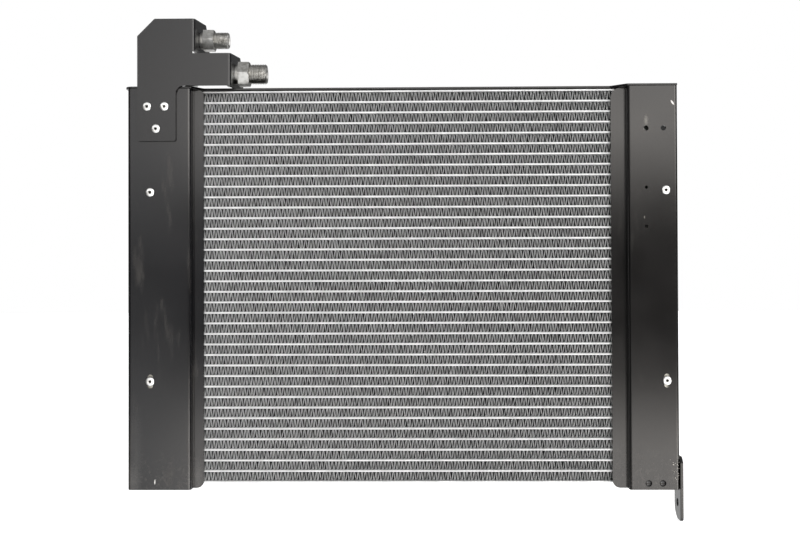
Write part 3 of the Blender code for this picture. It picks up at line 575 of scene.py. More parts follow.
def radial(
    name: str, rows: Sequence[tuple[float, Radius | float]], segments: int, place: Matrix,
    ring: bool = False
) -> bpy.types.Mesh:
    """A body about an axis whose radius may change round the turn, for threads and hexagons.

    Args:
        name: The mesh's name.
        rows: Heights along local Z with a radius or a function of angle and height.
        segments: Points round each turn.
        place: From the local axis to the frame.
        ring: True if the last row joins the first, for a body with a bore.

    Returns:
        The closed mesh.
    """
    points: list[Vector] = []
    starts = []
    for height, radius in rows:
        starts.append(len(points))
        if radius == 0.0:
            points.append(place @ Vector((0.0, 0.0, height)))
            continue
        for step in range(segments):
            angle = 2 * math.pi * step / segments
            reach = radius(angle, height) if callable(radius) else radius
            points.append(place @ Vector((reach * math.cos(angle), reach * math.sin(angle), height)))
    sizes = [1 if radius == 0.0 else segments for _, radius in rows]
    pairs = list(zip(range(len(rows)), range(1, len(rows))))
    if ring:
        pairs.append((len(rows) - 1, 0))
    faces = []
    for first, second in pairs:
        for step in range(segments):
            after = (step + 1) % segments
            corners = [
                starts[first] + step % sizes[first], starts[first] + after % sizes[first],
                starts[second] + after % sizes[second], starts[second] + step % sizes[second]]
            face = list(dict.fromkeys(corners))
            if len(face) > 2:
                faces.append(face)
    return mesh_of(name, points, faces)


def swept(
    name: str, route: Sequence[Vector], radius: Callable[[float], float] | float, segments: int = 24
) -> bpy.types.Mesh:
    """A closed round bar along a route, with a radius that may change along it.

    Args:
        name: The mesh's name.
        route: Points of the centre line.
        radius: The radius, or a function of the share of the route passed.
        segments: Points round the bar.

    Returns:
        The mesh.
    """
    points: list[Vector] = []
    tangent = (route[1] - route[0]).normalized()
    across = tangent.orthogonal().normalized()
    for index, place in enumerate(route):
        ahead = route[min(index + 1, len(route) - 1)] - route[max(index - 1, 0)]
        turn = tangent.rotation_difference(ahead.normalized())
        across = turn @ across
        tangent = ahead.normalized()
        other = tangent.cross(across)
        share = index / (len(route) - 1)
        reach = radius(share) if callable(radius) else radius
        for step in range(segments):
            angle = 2 * math.pi * step / segments
            points.append(place + reach * (math.cos(angle) * across + math.sin(angle) * other))
    faces = []
    for index in range(len(route) - 1):
        base = index * segments
        for step in range(segments):
            after = (step + 1) % segments
            faces.append([base + step, base + after, base + segments + after, base + segments + step])
    last = (len(route) - 1) * segments
    faces.append(list(range(segments)))
    faces.append([last + step for step in range(segments)])
    return mesh_of(name, points, faces)


def add_object(name: str, mesh: bpy.types.Mesh) -> bpy.types.Object:
    """An object in the scene with its mesh in the frame's own metres."""
    item = bpy.data.objects.new(name, mesh)
    bpy.context.scene.collection.objects.link(item)
    return item


def settle(item: bpy.types.Object) -> None:
    """Turn a piece's modifiers into its mesh."""
    bpy.context.view_layer.update()
    depsgraph = bpy.context.evaluated_depsgraph_get()
    mesh = bpy.data.meshes.new_from_object(item.evaluated_get(depsgraph))
    item.modifiers.clear()
    item.data = mesh


def carve(item: bpy.types.Object, cutters: Sequence[bpy.types.Mesh], operation: str = "DIFFERENCE") -> None:
    """Cut bodies out of a piece, or join them to it.

    Args:
        item: The piece.
        cutters: Closed meshes.
        operation: DIFFERENCE or UNION.
    """
    helpers = [add_object(f"{item.name}_cutter", mesh) for mesh in cutters]
    for helper in helpers:
        modifier = item.modifiers.new(helper.name, "BOOLEAN")
        modifier.operation = operation
        modifier.solver = "EXACT"
        modifier.object = helper
    settle(item)
    for helper in helpers:
        bpy.data.objects.remove(helper, do_unlink=True)


def soften(item: bpy.types.Object, width: float, segments: int = 2, angle: float = 38.0) -> None:
    """Break a piece's sharp edges and shade the rest smooth.

    Args:
        item: The piece.
        width: Width of the broken edge.
        segments: Facets across it.
        angle: Edges sharper than this are broken.
    """
    modifier = item.modifiers.new("broken_edges", "BEVEL")
    modifier.width = width
    modifier.segments = segments
    modifier.limit_method = "ANGLE"
    modifier.angle_limit = math.radians(angle)
    modifier.use_clamp_overlap = True
    settle(item)
    shade(item, 50)
    weighted = item.modifiers.new("flat_faces_stay_flat", "WEIGHTED_NORMAL")
    weighted.weight = 100
    weighted.keep_sharp = True
    settle(item)


def shade(item: bpy.types.Object, angle: float = 38.0) -> None:
    """Shade smooth with sharp edges past an angle in degrees."""
    item.data.shade_smooth()
    item.data.set_sharp_from_angle(angle=math.radians(angle))


def dress(
    item: bpy.types.Object, material: bpy.types.Material, slot: Slot, stands_for: Sequence[str] = ()
) -> bpy.types.Object:
    """Give a new piece its material and its place on the frame.

    Args:
        item: The piece, with its mesh final.
        material: Its finish.
        slot: The record's slot for that finish; not used.
        stands_for: The CAD nodes that it replaces.

    Returns:
        The piece.
    """
    item.data.materials.clear()
    item.data.materials.append(material)
    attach(item, BODY)
    if stands_for:
        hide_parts(*stands_for)
    LOG.info("%s: %d faces", item.name, len(item.data.polygons))
    return item


def add_piece(
    name: str, mesh: bpy.types.Mesh, finish: tuple[bpy.types.Material, Slot],
    stands_for: Sequence[str] = (), angle: float = 38.0
) -> None:
    """Add a piece whose mesh is final.

    Args:
        name: The piece's name.
        mesh: Its mesh.
        finish: Its material and the record's slot for it.
        stands_for: The CAD nodes that it replaces.
        angle: Edges sharper than this many degrees stay sharp.
    """
    item = add_object(name, mesh)
    shade(item, angle)
    dress(item, *finish, stands_for)


def middle_of(node: str) -> Point2:
    """X and Z of the middle of a CAD node."""
    low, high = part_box(node)
    return (low.x + high.x) / 2, (low.z + high.z) / 2


def along_x(x: float, y: float, z: float, turn: float = 0.0) -> Matrix:
    """From a body's local Z to the frame's X at a place, turned about it by some degrees."""
    return Matrix.Translation((x, y, z)) @ Matrix.Rotation(math.radians(90), 4, "Y") @ Matrix.Rotation(
        math.radians(turn), 4, "Z")


def facing_front(x: float, y: float, z: float) -> Matrix:
    """From a body's local Z to the frame's -Y at a place."""
    return Matrix.Translation((x, y, z)) @ Matrix.Rotation(math.radians(90), 4, "X")


def upright(x: float, y: float, z: float, flip: bool = False) -> Matrix:
    """From a body's local Z to the frame's Z, or to -Z if flipped, at a place."""
    return Matrix.Translation((x, y, z)) @ Matrix.Rotation(math.pi if flip else 0.0, 4, "X")


def round_hole(x: float, z: float, radius: float, front: float, back: float) -> bpy.types.Mesh:
    """A cutter for a round hole along Y."""
    return prism("hole", arc((x, z), radius, 0, 354, 59), front, back, "XZY")


def slot_hole(
    x: float, z: float, radius: float, length: float, front: float, back: float
) -> bpy.types.Mesh:
    """A cutter for an upright slot along Y."""
    reach = length / 2 - radius
    outline = arc((x, z + reach), radius, 0, 180, 20) + arc((x, z - reach), radius, 180, 360, 20)
    return prism("slot", outline, front, back, "XZY")


# ---------------------------------------------------------------- core
@dataclass
class Core:
    """Flat tubes with corrugated fin rows between them, and the two side plates."""

    tube_height: float = 2.0 * MM
    fin_height: float = 8.0 * MM
    gap: float = 0.3 * MM
    wave_pitch: float = 3.32 * MM
    crest_radius: float = 0.42 * MM
    foil: float = 0.26 * MM          # real foil is 0.1 mm, drawn thicker so that its edge shows
    herringbone: float = 1.15 * MM   # sideways swing of the passages
    swings: int = 4
    fin_recess: float = 0.35 * MM
    lean: float = 0.07               # how unevenly the waves lean and spread
    tubes: int = field(init=False)
    low: float = field(init=False)
    box: Box = field(init=False)
    fin_box: Box = field(init=False)

    def __post_init__(self) -> None:
        """Read the core's place from the frame."""
        packs = [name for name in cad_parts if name.startswith("core_pack_")]
        self.tubes = 2 * len(packs)
        self.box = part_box("core_pack_01")
        self.fin_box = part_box("core_fin_top")
        self.low = self.box[0].z - self.gap / 2

    def tube_level(self, index: int) -> float:
        """Middle height of a tube, counted from the foot."""
        pitch = self.tube_height + self.fin_height
        return self.low + self.fin_height + self.tube_height / 2 + index * pitch

    def tube_section(self, middle: float, height: float, nose: float) -> list[Point2]:
        """A strip's section in YZ with rounded front and back.

        Args:
            middle: Its middle height.
            height: Its thickness.
            nose: Radius of the rounding.

        Returns:
            The closed outline.
        """
        front, back = self.box[0].y, self.box[1].y
        half = height / 2 - nose
        outline = arc((back - nose, middle - half), nose, -90, 0, 6)
        outline += arc((back - nose, middle + half), nose, 0, 90, 6)
        outline += arc((front + nose, middle + half), nose, 90, 180, 6)
        outline += arc((front + nose, middle - half), nose, 180, 270, 6)
        return list(dict.fromkeys(outline))

    def build_tubes(self, metal: bpy.types.Material) -> None:
        """Every flat tube from header to header."""
        for index in range(self.tubes):
            pack = f"core_pack_{index // 2 + 1:02d}"
            section = self.tube_section(self.tube_level(index), self.tube_height, self.tube_height / 2.02)
            name = f"flat_tube_{index + 1:02d}"
            mesh = prism(name, section, self.box[0].x, self.box[1].x, "YZX")
            add_piece(name, mesh, (metal, Slot.CORE), [pack])

    def wave_path(self, low: float, high: float, draw: random.Random) -> list[Point2]:
        """The foil's middle line in XZ along one row.

        Args:
            low: Top of the tube below.
            high: Underside of the tube above.
            draw: Source of the small unevenness that real corrugation has.

        Returns:
            The points from left to right.
        """
        left = self.fin_box[0].x + self.herringbone
        right = self.fin_box[1].x - self.herringbone
        waves = round((right - left) / self.wave_pitch)
        pitch = (right - left) / waves
        foot = low + self.foil / 2
        head = high - self.foil / 2
        radius = self.crest_radius
        drift = draw.uniform(-0.5, 0.5) * pitch * 0.6
        points = []
        for index in range(2 * waves + 1):
            share = index / (2 * waves)
            ease = min(1.0, 6 * share, 6 * (1 - share))
            wander = drift * ease + draw.gauss(0.0, self.lean) * pitch * ease
            x = left + radius + (right - left - 2 * radius) * share + wander
            if index % 2:
                points += arc((x, head - radius), radius, 170, 10, 2)
            else:
                points += arc((x, foot + radius), radius, 190, 350, 2)
        ordered = [points[0]]
        for point in points[1:]:
            ordered.append((max(point[0], ordered[-1][0] + 0.02 * MM), point[1]))
        return ordered

    def fin_mesh(self, name: str, path: Sequence[Point2]) -> bpy.types.Mesh:
        """Thicken the wave and carry it back through its sideways swings.

        Args:
            name: The mesh's name.
            path: The foil's middle line in XZ.

        Returns:
            The closed foil.
        """
        above = offset_path(path, self.foil / 2)
        below = offset_path(path, -self.foil / 2)
        front = self.box[0].y + self.fin_recess
        back = self.box[1].y - self.fin_recess
        points = []
        stations = self.swings + 1
        for station in range(stations):
            y = front + (back - front) * station / self.swings
            shift = self.herringbone * (1 if station % 2 else -1)
            points += [(x + shift, y, z) for x, z in above]
            points += [(x + shift, y, z) for x, z in below]
        count = len(path)
        row = 2 * count
        faces = []
        for index in range(count - 1):
            faces.append((index, index + 1, count + index + 1, count + index))
            last = row * self.swings
            faces.append((last + index, last + count + index, last + count + index + 1, last + index + 1))
            for station in range(self.swings):
                near, far = station * row, (station + 1) * row
                faces.append((near + index, far + index, far + index + 1, near + index + 1))
                near, far = near + count, far + count
                faces.append((near + index, near + index + 1, far + index + 1, far + index))
        for station in range(self.swings):
            near, far = station * row, (station + 1) * row
            faces.append((near, near + count, far + count, far))
            end = count - 1
            faces.append((near + end, far + end, far + count + end, near + count + end))
        mesh = bpy.data.meshes.new(name)
        mesh.from_pydata(points, [], faces)
        return mesh

    def build_fins(self, foil: bpy.types.Material) -> None:
        """Every fin row, each a little uneven in its own way."""
        pitch = self.tube_height + self.fin_height
        for index in range(self.tubes + 1):
            name = f"fin_row_{index + 1:02d}"
            low = self.low + index * pitch
            path = self.wave_path(low, low + self.fin_height, random.Random(index))
            pack = f"core_pack_{index // 2 + 1:02d}" if index < self.tubes else "core_fin_top"
            add_piece(name, self.fin_mesh(name, path), (foil, Slot.CORE), [pack], 30)

    def build_plates(self, metal: bpy.types.Material) -> None:
        """The plates above and below the fins, rolled strip with round edges."""
        for name in ("top_side_plate", "bottom_side_plate"):
            low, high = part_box(name)
            section = self.tube_section((low.z + high.z) / 2, high.z - low.z, (high.z - low.z) * 0.3)
            mesh = prism(name, section, low.x, high.x, "YZX")
            add_piece(f"core_{name}", mesh, (metal, Slot.CORE), [name])


# ---------------------------------------------------------------- headers
@dataclass
class Headers:
    """The two header tubes with their caps, the baffle and the brazed joints of the tubes."""

    core: Core
    wall: float = 2.5 * MM
    braze: float = 0.55 * MM         # radius of the braze fillet round a tube
    segments: int = 72

    def build(self, metal: bpy.types.Material) -> None:
        """Both headers and what closes them."""
        for side in Side:
            self.build_tube(side, metal)
            self.build_caps(side, metal)
            self.build_joints(side, metal)
        self.build_baffle(metal)

    def axis(self, side: Side) -> tuple[float, float, float]:
        """X and Y of a header's axis and its radius."""
        low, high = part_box(f"{side.word}_header")
        return (low.x + high.x) / 2, (low.y + high.y) / 2, (high.x - low.x) / 2

    def build_tube(self, side: Side, metal: bpy.types.Material) -> None:
        """A header tube with its bore and chamfered ends."""
        name = f"{side.word}_header"
        x, y, radius = self.axis(side)
        low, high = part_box(name)
        bore = radius - self.wall
        edge = 0.4 * MM
        rows = [
            (low.z, radius - edge), (low.z + edge, radius), (high.z - edge, radius),
            (high.z, radius - edge), (high.z, bore), (low.z, bore)]
        mesh = radial(name, rows, self.segments, upright(x, y, 0), True)
        add_piece(f"{name}_tube", mesh, (metal, Slot.HEADER), [name], 30)

    def build_caps(self, side: Side, metal: bpy.types.Material) -> None:
        """The two dished caps of a header, each with a rounded rim."""
        x, y, radius = self.axis(side)
        for end, flip in (("top", False), ("bottom", True)):
            name = f"{side.word}_header_{end}_cap"
            low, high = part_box(name)
            outer, inner = (low.z, high.z) if flip else (high.z, low.z)
            span = abs(outer - inner)
            lip = 2.0 * MM
            bore = radius - self.wall - 0.3 * MM
            rows = [
                (span - 0.9 * MM, 0.0), (span - 0.8 * MM, radius * 0.35), (span - 0.5 * MM, radius * 0.62),
                (span, radius * 0.74), (span, radius - 0.7 * MM), (span - 0.2 * MM, radius - 0.2 * MM),
                (span - 0.7 * MM, radius), (span - lip, radius), (span - lip, bore), (0.0, bore),
                (0.0, 0.0)]
            mesh = radial(name, rows, self.segments, upright(x, y, inner, flip))
            add_piece(f"{side.word}_{end}_cap", mesh, (metal, Slot.HEADER), [name], 30)

    def build_joints(self, side: Side, metal: bpy.types.Material) -> None:
        """A fillet of braze round every tube where it enters its header."""
        x, y, radius = self.axis(side)
        points: list[Vector] = []
        faces: list[list[int]] = []
        half_depth = (self.core.box[1].y - self.core.box[0].y) / 2
        inward = -side.value
        for index in range(self.core.tubes):
            level = self.core.tube_level(index)
            ring = []
            for centre, start in ((half_depth - 1.0 * MM, -90), (-half_depth + 1.0 * MM, 90)):
                ring += [(centre + math.cos(a) * 1.0 * MM, math.sin(a) * 1.0 * MM)
                         for a in (math.radians(start + 30 * step) for step in range(7))]
            spread = []
            for offset, height in ring:
                away = Vector((offset, height)).normalized()
                on_wall = offset + away.x * self.braze
                reach = math.sqrt(max(radius * radius - on_wall * on_wall, 0.0))
                wall_z = height + math.copysign(self.braze, away.y)
                spread.append(((offset, height), (on_wall, wall_z), reach))
            base = len(points)
            for (offset, height), (wall_y, wall_z), reach in spread:
                own = math.sqrt(radius * radius - offset * offset)
                points.append(Vector((x + inward * (own + self.braze), y + offset, level + height)))
                points.append(Vector((x + inward * (reach - 0.1 * MM), y + wall_y, level + wall_z)))
                points.append(Vector((x + inward * (own - 0.8 * MM), y + offset, level + height)))
            count = len(ring)
            for step in range(count):
                a, b = base + 3 * step, base + 3 * ((step + 1) % count)
                faces += [[a, b, b + 1, a + 1], [a + 1, b + 1, b + 2, a + 2], [a + 2, b + 2, b, a]]
        mesh = mesh_of("braze", points, faces)
        add_piece(f"{side.word}_braze_joints", mesh, (metal, Slot.HEADER), angle=60)

    def build_baffle(self, metal: bpy.types.Material) -> None:
        """The disc inside the left header."""
        low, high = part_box("header_baffle")
        x, y, _ = self.axis(Side.LEFT)
        radius = (high.x - low.x) / 2
        edge = 0.3 * MM
        rows = [
            (low.z, 0.0), (low.z, radius - edge), (low.z + edge, radius), (high.z - edge, radius),
            (high.z, radius - edge), (high.z, 0.0)]
        mesh = radial("baffle", rows, self.segments, upright(x, y, 0))
        add_piece("baffle_disc", mesh, (metal, Slot.HEADER), ["header_baffle"], 30)


# ---------------------------------------------------------------- folded frame
@dataclass
class SideChannel:
    """A side channel folded from sheet: lip, step, front face and side flange."""

    side: Side
    lip: float
    corners: tuple[float, float]     # radius of the lip's corner at the top and at the bottom
    sheet: float = 2.5 * MM
    step: float = 12.5 * MM          # front face to the back of the lip
    bend: float = 3.0 * MM
    bend_steps: int = 10
    broken_edge: float = 0.35 * MM
    rivet_hole: float = 2.7 * MM
    slot_length: float = 13.0 * MM
    box: Box = field(init=False)

    def __post_init__(self) -> None:
        """Read the channel's corners from the frame."""
        self.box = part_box(f"{self.side.word}_side_channel")

    def across(self, distance: float) -> float:
        """The X that lies some distance inboard of the channel's outer face."""
        outer = self.box[1].x if self.side is Side.RIGHT else self.box[0].x
        return outer - self.side.value * distance

    def path(self) -> list[Point2]:
        """The front surface in plan, from the lip's free edge to the back of the flange."""
        front, back = self.box[0].y, self.box[1].y
        width = self.box[1].x - self.box[0].x
        inner = self.bend - self.sheet
        lip_face = front + self.step - self.sheet
        web = width - self.lip           # measured inboard from the outer face
        points = [(width, lip_face)]
        points += arc((web + inner, lip_face - inner), inner, 90, 180, self.bend_steps)
        points += arc((web - self.bend, front + self.bend), self.bend, 0, -90, self.bend_steps)
        points += arc((self.bend, front + self.bend), self.bend, -90, -180, self.bend_steps)
        points.append((0.0, back))
        return [(self.across(distance), y) for distance, y in points]

    def corner_cutters(self) -> list[bpy.types.Mesh]:
        """What rounds the lip's two free corners."""
        cutters = []
        edge = self.across(self.box[1].x - self.box[0].x)
        out = self.side.value
        front, back = self.box[0].y, self.box[0].y + 2 * self.step
        ends = ((self.corners[0], self.box[1].z, -1), (self.corners[1], self.box[0].z, 1))
        for radius, level, up in ends:
            margin = 1.0 * MM
            curve = arc((radius, radius), radius, 270, 180, 10)
            outline = [(-margin, -margin), (radius, -margin)] + curve + [(-margin, radius)]
            placed = [(edge + out * x, level + up * z) for x, z in outline]
            cutters.append(prism("corner", placed, front, back, "XZY"))
        return cutters

    def rivets(self) -> list[Point2]:
        """X and Z of the channel's two rivets, the upper one first."""
        return [middle_of(f"{self.side.word}_{level}_rivet") for level in ("upper", "lower")]

    def hole_cutters(self) -> list[bpy.types.Mesh]:
        """The round hole of the upper rivet and the slot of the lower one."""
        front, back = self.box[0].y - self.sheet, self.box[0].y + 2 * self.sheet
        (upper_x, upper_z), (lower_x, lower_z) = self.rivets()
        return [
            round_hole(upper_x, upper_z, self.rivet_hole, front, back),
            slot_hole(lower_x, lower_z, self.rivet_hole, self.slot_length, front, back)]

    def build(self, paint: bpy.types.Material, extra: Sequence[bpy.types.Mesh] = ()) -> None:
        """The channel with its holes and every edge broken.

        Args:
            paint: The coat.
            extra: More bodies to cut out.
        """
        name = f"{self.side.word}_side_channel"
        thickness = self.sheet if self.side is Side.RIGHT else -self.sheet
        path = self.path()[::-1]
        channel = add_object(
            f"{self.side.word}_channel", folded(name, path, -thickness, self.box[0].z, self.box[1].z))
        carve(channel, self.corner_cutters() + self.hole_cutters() + list(extra))
        soften(channel, self.broken_edge)
        dress(channel, paint, Slot.PAINT, [name])


@dataclass
class RightChannelHoles:
    """The open holes and the two pressed dimples of the right channel."""

    channel: SideChannel
    pair_radius: float = 2.45 * MM
    pair_insets: tuple[float, float] = (29.4 * MM, 13.4 * MM)
    pair_drop: float = 39.7 * MM
    small_radius: float = 1.5 * MM
    small_drops: tuple[float, float] = (95.0 * MM, 131.5 * MM)
    dimple_radius: float = 3.0 * MM
    dimple_depth: float = 1.7 * MM
    dimple_insets: tuple[float, float] = (28.9 * MM, 15.8 * MM)
    dimple_rise: float = 6.0 * MM

    def cutters(self) -> list[bpy.types.Mesh]:
        """Bodies for the holes and the dimples."""
        low, high = self.channel.box
        front, back = low.y - self.channel.sheet, low.y + 2 * self.channel.sheet
        made = []
        for inset in self.pair_insets:
            made.append(round_hole(
                self.channel.across(inset), high.z - self.pair_drop, self.pair_radius, front, back))
        for drop in self.small_drops:
            made.append(round_hole(
                self.channel.across(self.pair_insets[0]), high.z - drop, self.small_radius, front, back))
        for inset in self.dimple_insets:
            made.append(self.dimple(self.channel.across(inset), low.z + self.dimple_rise, low.y))
        return made

    def dimple(self, x: float, z: float, face: float) -> bpy.types.Mesh:
        """A shallow dish with a soft floor."""
        rows: list[tuple[float, Radius | float]] = [(1.0 * MM, 0.0), (1.0 * MM, self.dimple_radius)]
        for share in (0.0, 0.3, 0.6, 0.85, 1.0):
            rows.append((-self.dimple_depth * share, self.dimple_radius * (1 - 0.45 * share ** 3)))
        rows.append((-self.dimple_depth, 0.0))
        return radial("dimple", rows, 36, facing_front(x, face, z))


@dataclass
class BracketHoles:
    """The holes under the bracket's three rivets in the left channel."""

    channel: SideChannel

    def cutters(self) -> list[bpy.types.Mesh]:
        """Bodies for the three holes."""
        front = self.channel.box[0].y - self.channel.sheet / 2
        back = self.channel.box[0].y + 2 * self.channel.sheet
        return [
            round_hole(*middle_of(f"bracket_rivet_{index}"), self.channel.rivet_hole, front, back)
            for index in (1, 2, 3)]


@dataclass
class TopRail:
    """The flat bar across the top, reaching forward over both channels."""

    left: SideChannel
    right: SideChannel
    corner: float = 7.0 * MM

    def build(self, paint: bpy.types.Material) -> None:
        """The bar with its rounded end and broken edges."""
        low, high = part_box("top_rail")
        window_left, window_right = self.left.box[1].x, self.right.box[0].x
        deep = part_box("core_pack_01")[0].y
        corner = self.corner
        outline = arc((low.x + corner, low.y + corner), corner, 180, 270, 12)
        outline += [(window_left - self.left.lip, low.y), (window_left, deep), (window_right, deep)]
        outline += [(window_right + self.right.lip, low.y), (high.x, low.y), (high.x, high.y)]
        outline += arc((low.x + corner, high.y - corner), corner, 90, 180, 12)
        rail = add_object("rail_bar", prism("rail", outline, low.z, high.z))
        soften(rail, 0.4 * MM)
        dress(rail, paint, Slot.PAINT, ["top_rail"])


@dataclass
class MountingEar:
    """The drilled ear welded to the outside of the right channel, with its weld and spatter."""

    channel: SideChannel
    top_chamfer: float = 5.0 * MM
    rear_radius: float = 14.0 * MM
    front_radius: float = 3.0 * MM
    hole_radius: float = 3.5 * MM
    hole_drop: float = 13.7 * MM
    hole_setback: float = 11.5 * MM
    bead: float = 1.5 * MM
    ripple: float = 1.7 * MM
    proud: float = 0.2 * MM          # middle of the bead past the ear's edge
    spatter_count: int = 26
    spatter_reach: tuple[float, float] = (9.0 * MM, 34.0 * MM)

    def build(self, paint: bpy.types.Material, weld: bpy.types.Material) -> None:
        """The ear, its weld bead and the spatter on the channel's face."""
        low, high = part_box("mounting_ear")
        front, back, top, foot = low.y, high.y, high.z, low.z
        outline = [(front + self.top_chamfer, top), (front, top - self.top_chamfer)]
        small, large = self.front_radius, self.rear_radius
        outline += arc((front + small, foot + small), small, 180, 270, 8)
        outline += arc((back - large, foot + large), large, 270, 360, 20)
        outline.append((back, top))
        ear = add_object("ear_plate", prism("ear", outline, low.x, high.x, "YZX"))
        centre = (front + self.hole_setback, self.channel.box[0].z - self.hole_drop)
        hole = prism("ear_hole", arc(centre, self.hole_radius, 0, 354, 59), low.x - MM, high.x + MM, "YZX")
        carve(ear, [hole])
        soften(ear, 0.45 * MM)
        dress(ear, paint, Slot.PAINT, ["mounting_ear"])
        self.build_bead(weld, low, high)
        self.build_spatter(weld, low, high)

    def build_bead(self, weld: bpy.types.Material, low: Vector, high: Vector) -> None:
        """A rippled fillet down the ear's back edge and one along its head."""
        face = low.x
        foot = self.channel.box[0].z + 2 * MM
        behind, above = high.y + self.proud, high.z + self.proud
        short = 3 * MM
        paths = {
            "ear_weld_back": (Vector((face, behind, foot)), Vector((face, behind, high.z - short))),
            "ear_weld_head": (
                Vector((face, low.y + self.top_chamfer + MM, above)),
                Vector((face, high.y - short, above)))}
        for name, (start, end) in paths.items():
            length = (end - start).length
            steps = round(length / self.ripple) * 5
            route = [start.lerp(end, step / steps) for step in range(steps + 1)]
            ripples = length / self.ripple

            def reach(share: float, ripples: float = ripples) -> float:
                """Radius of the bead: a row of overlapping scales with tapered ends."""
                scale = 1.0 - 0.16 * ((share * ripples) % 1.0)
                return self.bead * scale * min(1.0, 0.35 + 9 * share, 0.35 + 9 * (1 - share))

            add_piece(name, swept(name, route, reach, 14), (weld, Slot.PAINT), angle=50)

    def build_spatter(self, weld: bpy.types.Material, low: Vector, high: Vector) -> None:
        """Droplets that the weld threw on the corner of the channel's face."""
        draw = random.Random(7)
        build = bmesh.new()
        face = self.channel.box[0].y
        outer = self.channel.box[1].x
        for _ in range(self.spatter_count):
            along = draw.uniform(*self.spatter_reach)
            inset = 0.8 * MM + abs(draw.gauss(0.0, 3.0 * MM))
            size = draw.uniform(0.25, 0.55) * MM
            place = Matrix.Translation((outer - inset, face, self.channel.box[0].z + along))
            squashed = Matrix.Diagonal((1.0, 0.6, draw.uniform(0.9, 1.3), 1.0))
            bmesh.ops.create_icosphere(build, subdivisions=2, radius=size, matrix=place @ squashed)
        mesh = bpy.data.meshes.new("weld_spatter")
        build.to_mesh(mesh)
        build.free()
        add_piece("weld_spatter", mesh, (weld, Slot.PAINT), angle=60)


# ---------------------------------------------------------------- fitting bracket
@dataclass
class FittingBracket:
    """The bracket in front of the left channel, with a folded flange for each union."""

    sheet: float = 2.5 * MM
    bend: float = 2.8 * MM
    tab_width: float = 36.1 * MM
    upper_width: float = 54.4 * MM
    upper_height: float = 30.2 * MM
    relief: float = 2.4 * MM
    arm_height: float = 30.3 * MM
    chamfer: float = 16.3 * MM
    fillet: float = 8.0 * MM
    corner: float = 2.0 * MM
    climb: float = 6.0 * MM
    climb_length: float = 50.0 * MM
    rear_chamfer: float = 12.0 * MM
    rail_clearance: float = 1.0 * MM
    rail_lead: float = 3.0 * MM
    shank_gap: float = 0.3 * MM
    rivet_hole: float = 2.7 * MM
    broken_edge: float = 0.55 * MM
    box: Box = field(init=False)

    def __post_init__(self) -> None:
        """Work out the bracket's levels from its box in the frame."""
        self.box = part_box("fitting_bracket")
        self.top = self.box[1].z - self.climb
        self.upper_bottom = self.top - self.upper_height
        self.arm_top = self.upper_bottom - self.relief
        self.arm_bottom = self.arm_top - self.arm_height

    def plate(self) -> bpy.types.Mesh:
        """The front plate up to where the two folds start."""
        left, foot = self.box[0].x, self.box[0].z
        front = self.box[0].y
        tab = left + self.tab_width
        upper = left + self.upper_width - self.bend
        arm = self.box[1].x - self.bend
        outline = [(left, self.top - self.chamfer)]
        outline += arc((left + self.corner, foot + self.corner), self.corner, 180, 270, 6)
        outline += arc((tab - self.corner, foot + self.corner), self.corner, 270, 360, 6)
        outline += arc((tab + self.fillet, self.arm_bottom - self.fillet), self.fillet, 180, 90, 12)
        outline += [(arm, self.arm_bottom), (arm, self.arm_top), (upper, self.arm_top)]
        outline += [(upper, self.top), (left + self.chamfer, self.top)]
        return prism("plate", outline, front, front + self.sheet, "XZY")

    def flange(self, name: str, face: float, low: float, high: float) -> bpy.types.Object:
        """A fold and its flange, cut to the flange's outline.

        Args:
            name: The helper's name.
            face: X of the flange's outer face.
            low: Height of its foot at the fold.
            high: Height of its head at the fold.

        Returns:
            The flange as an object of its own.
        """
        front, back = self.box[0].y, self.box[1].y
        start = face - self.bend
        path = [(start - 0.5 * MM, front)]
        path += arc((start, front + self.bend), self.bend, -90, 0, 10)
        path.append((face, back))
        body = add_object(name, folded(name, path, self.sheet, low - MM, high + 2 * self.climb))
        core_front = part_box("core_pack_01")[0].y
        clear = max(low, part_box("top_rail")[1].z + self.rail_clearance)
        turn = front + self.bend
        outline = [
            (front - MM, low), (core_front - self.rail_lead, low),
            (core_front - self.rail_clearance, clear),
            (back + MM, clear), (back + MM, high + self.climb - self.rear_chamfer),
            (back, high + self.climb - self.rear_chamfer),
            (turn + self.climb_length + self.rear_chamfer, high + self.climb - self.rear_chamfer),
            (turn + self.climb_length, high + self.climb), (turn, high), (front - MM, high)]
        carve(body, [prism("outline", outline, start - 5 * MM, face + MM, "YZX")], "INTERSECT")
        return body

    def build(self, paint: bpy.types.Material) -> None:
        """The whole bracket, drilled and with its edges broken."""
        bracket = add_object("bracket_sheet", self.plate())
        upper = self.flange("upper_flange", self.box[0].x + self.upper_width, self.upper_bottom, self.top)
        lower = self.flange("lower_flange", self.box[1].x, self.arm_bottom, self.arm_top)
        carve(bracket, [upper.data, lower.data], "UNION")
        for helper in (upper, lower):
            bpy.data.objects.remove(helper, do_unlink=True)
        carve(bracket, self.drills())
        soften(bracket, self.broken_edge)
        dress(bracket, paint, Slot.BRACKET, ["fitting_bracket"])

    def drills(self) -> list[bpy.types.Mesh]:
        """The rivets' holes in the tab and the unions' holes in the flanges."""
        front, back = self.box[0].y - self.sheet, self.box[0].y + 1.5 * self.sheet
        made = [
            round_hole(*middle_of(f"bracket_rivet_{index}"), self.rivet_hole, front, back)
            for index in (1, 2, 3)]
        faces = {"upper_union": self.box[0].x + self.upper_width, "lower_union": self.box[1].x}
        for name, face in faces.items():
            fitting = Union(name)
            outline = arc((fitting.y, fitting.z), fitting.shank + self.shank_gap, 0, 355, 71)
            made.append(prism(f"{name}_hole", outline, face - 2 * self.sheet, face + self.sheet, "YZX"))
        return made


